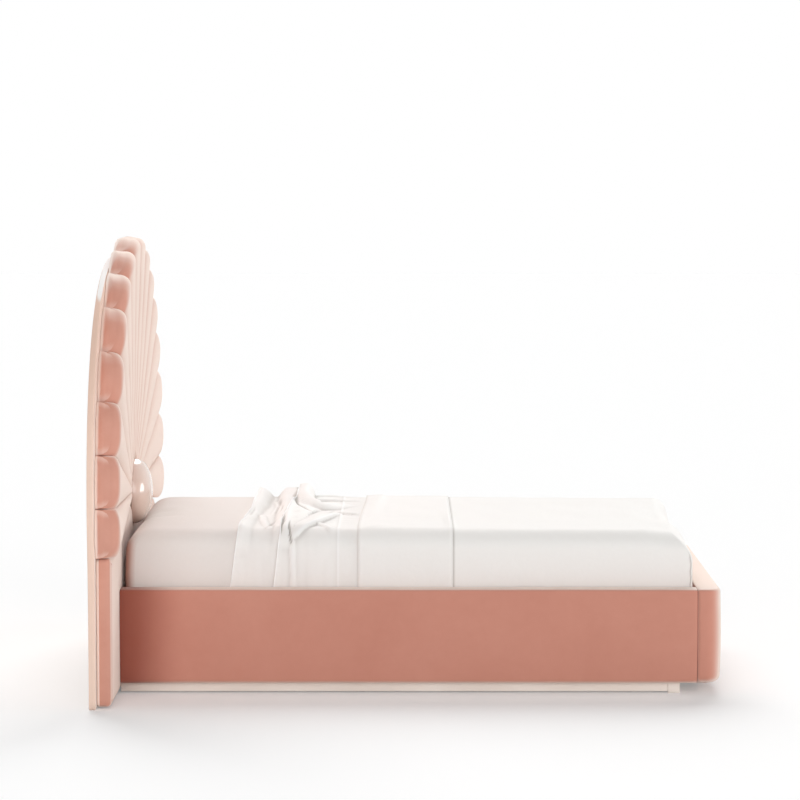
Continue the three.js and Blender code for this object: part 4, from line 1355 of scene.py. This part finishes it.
def makeTopSheet():
    # The loose part is warped to its lines and rumpled; the rest lies flat under the coverlet
    look = topSheet
    names, columns = sheetGrid()
    under, end = sheetLines["underCover"][1], mattressHigh[0] + bedding["sheet"] + bedding["footBulge"]
    loose = np.linspace(under - look["startGap"], under, len(columns))
    xs = np.concatenate([loose, np.linspace(under, end, look["restColumns"])[1:]])
    points, faces = beddingForm(bedding["sheet"], sheetLow[2], startX=xs[0], steps=xs, across=bedding["fineAcross"])
    across = acrossBed(points)
    step = np.searchsorted(xs, points[:, 0] + 1e-7) - 1
    order = []
    for column, (index, share) in enumerate(columns):
        here = np.where(step == column)[0]
        low, high = lineAt(across[here], names[index]), lineAt(across[here], names[index + 1])
        points[here, 0] = low + (high - low) * share
        order.append(here[np.argsort(across[here])])
    order = np.array(order)
    settled = settle(points)
    folded, lift, dark = rumpled(settled)
    x = points[:, 0]
    fromHem, fromSecond, fromPressed = (x - lineAt(across, line) for line in ("hem", "secondHem", "pressedFold"))
    doubled = fromSecond > -0.0002
    layer = look["layer"] * doubled * (1 - smoothStep(x, *look["layerEnd"]))
    layer += look["hemFlare"] * (bell(fromHem, look["flareWidth"]) + doubled * bell(fromSecond, look["flareWidth"]))
    layer += look["pressed"] * bell(fromPressed, look["pressedWidth"])
    liftOff(folded, points, layer)
    fade = 1 - smoothStep(x - coverLow[0], *look["fadeReach"])
    final = drifted(settled, coverLow[0]) * (1 - fade[:, None]) + folded * fade[:, None]
    # Painted shade in hollows and creases, beside the second hem on its head side and beside the pressed fold, with a
    # painted highlight on the fold itself
    shade = cavity(lift, order) + dark + marked(fromSecond, "hemPaintedShade") * (fromSecond < 0) \
        + marked(fromPressed, "foldPaintedHighlight") + marked(fromPressed, "foldPaintedShade")
    second = [index for index, share in columns].index(1)
    hems = [makeHemBead(name, final[order[column]] + [0, 0, look["beadLift"]])
            for name, column in (("sheetHem", 0), ("sheetSecondHem", second))]
    return clothPiece("topSheet", final, faces, ["top_sheet"],
                      shade * fade)


def drifted(points, start):
    # The coverlet's edge isn't quite square to the bed: it lies further down on the far side
    out = points.copy()
    near = 1 - smoothStep(np.abs(points[:, 0] - start), 0.0, bedding["driftAlong"])
    out[:, 0] += bedding["edgeDrift"] * near * smoothStep(points[:, 1], *bedding["driftAcross"])
    return out


coverFolds = [
    {"path": [(-0.150, -0.30, 0.0), (-0.140, 0.10, 0.005), (-0.128, 0.40, 0.008), (-0.124, 0.62, 0.0)],
     "widths": (0.035, 0.060), "blunt": (1.6, 1.6)},
    {"path": [(0.135, 0.10, 0.0), (0.138, -0.20, 0.005), (0.146, -0.44, 0.006), (0.150, -0.60, 0.0)],
     "widths": (0.016, 0.020), "blunt": (1.4, 1.4)},
    {"path": [(-0.170, -0.52, 0.0), (-0.120, -0.50, 0.005), (-0.060, -0.46, 0.0)],
     "widths": (0.030, 0.050), "blunt": (1.6, 1.6)},
]


def smoothCover(points, start):
    # Settled on the mattress, with low swells in it and its edge drifted
    points = settle(points)
    across, upper, out = acrossBed(points), onTop(points), points.copy()
    for fold in coverFolds:
        out[:, 2] += upper * foldProfile(points[:, 0], across, fold)
    return drifted(out, start)


coverlet = {
    "bandShade": 0.6, "bandShadeAt": 0.0025, "bandShadeWidth": 0.004, "foldShade": 0.7, "foldShadeWidth": 0.0022,
    "foldWobble": 0.0012, "wobbles": 130, "foldStep": 0.0025, "sideReach": 0.01, "sideDepth": (0.10, 0.05),
    # Columns before and after the band's edge, and those close to that edge and to the fold at the corner
    "headColumns": 26, "footColumns": 62, "edgeColumns": (-0.001, 0.002, 0.005, 0.010),
    "foldColumns": (-0.0025, 0.0, 0.0025), "margins": (0.004, 0.020, 0.006),
}


def makeCoverlet():
    look = coverlet
    edge, fold = bandHigh[0], bedding["cornerFold"]
    end = mattressHigh[0] + bedding["cover"] + bedding["footBulge"]
    beforeEdge, afterEdge, beforeFold = look["margins"]
    steps = np.concatenate([
        np.linspace(coverLow[0], edge - beforeEdge, look["headColumns"]), edge + np.array(look["edgeColumns"]),
        np.linspace(edge + afterEdge, fold - beforeFold, look["footColumns"]), fold + np.array(look["foldColumns"]),
        [end]])
    points, faces = beddingForm(bedding["cover"], coverLow[2], startX=coverLow[0], steps=steps)
    x, y, z = points.T
    depths = [mattressHigh[2] - depth for depth in look["sideDepth"]]
    lowSide = smoothStep(np.abs(y), mattressHigh[1] - look["sideReach"], mattressHigh[1]) \
        * (1 - smoothStep(z, *depths))
    wobble = look["foldWobble"] * np.sin(z * look["wobbles"])
    # Painted shade along the turned-down band's edge, and in the fold low on the sides near the foot
    shade = look["bandShade"] * bell(x - edge - look["bandShadeAt"], look["bandShadeWidth"]) \
        + look["foldShade"] * lowSide * bell(x - fold - wobble, look["foldShadeWidth"])
    points[:, 1] += np.sign(y) * lowSide * look["foldStep"] * (x > fold)
    return clothPiece("coverSpread", smoothCover(points, coverLow[0]), faces,
                      ["coverlet"], shade=shade)


def makeTurnDown():
    points, faces = beddingForm(bedding["band"], bandLow[2], startX=bandLow[0], endX=bandHigh[0])
    return clothPiece("turnDown", smoothCover(points, bandLow[0]), faces,
                      ["turn_down"])


makeMattress()
makeTopSheet()
makeCoverlet()
makeTurnDown()
print("mattress and bedding are made")
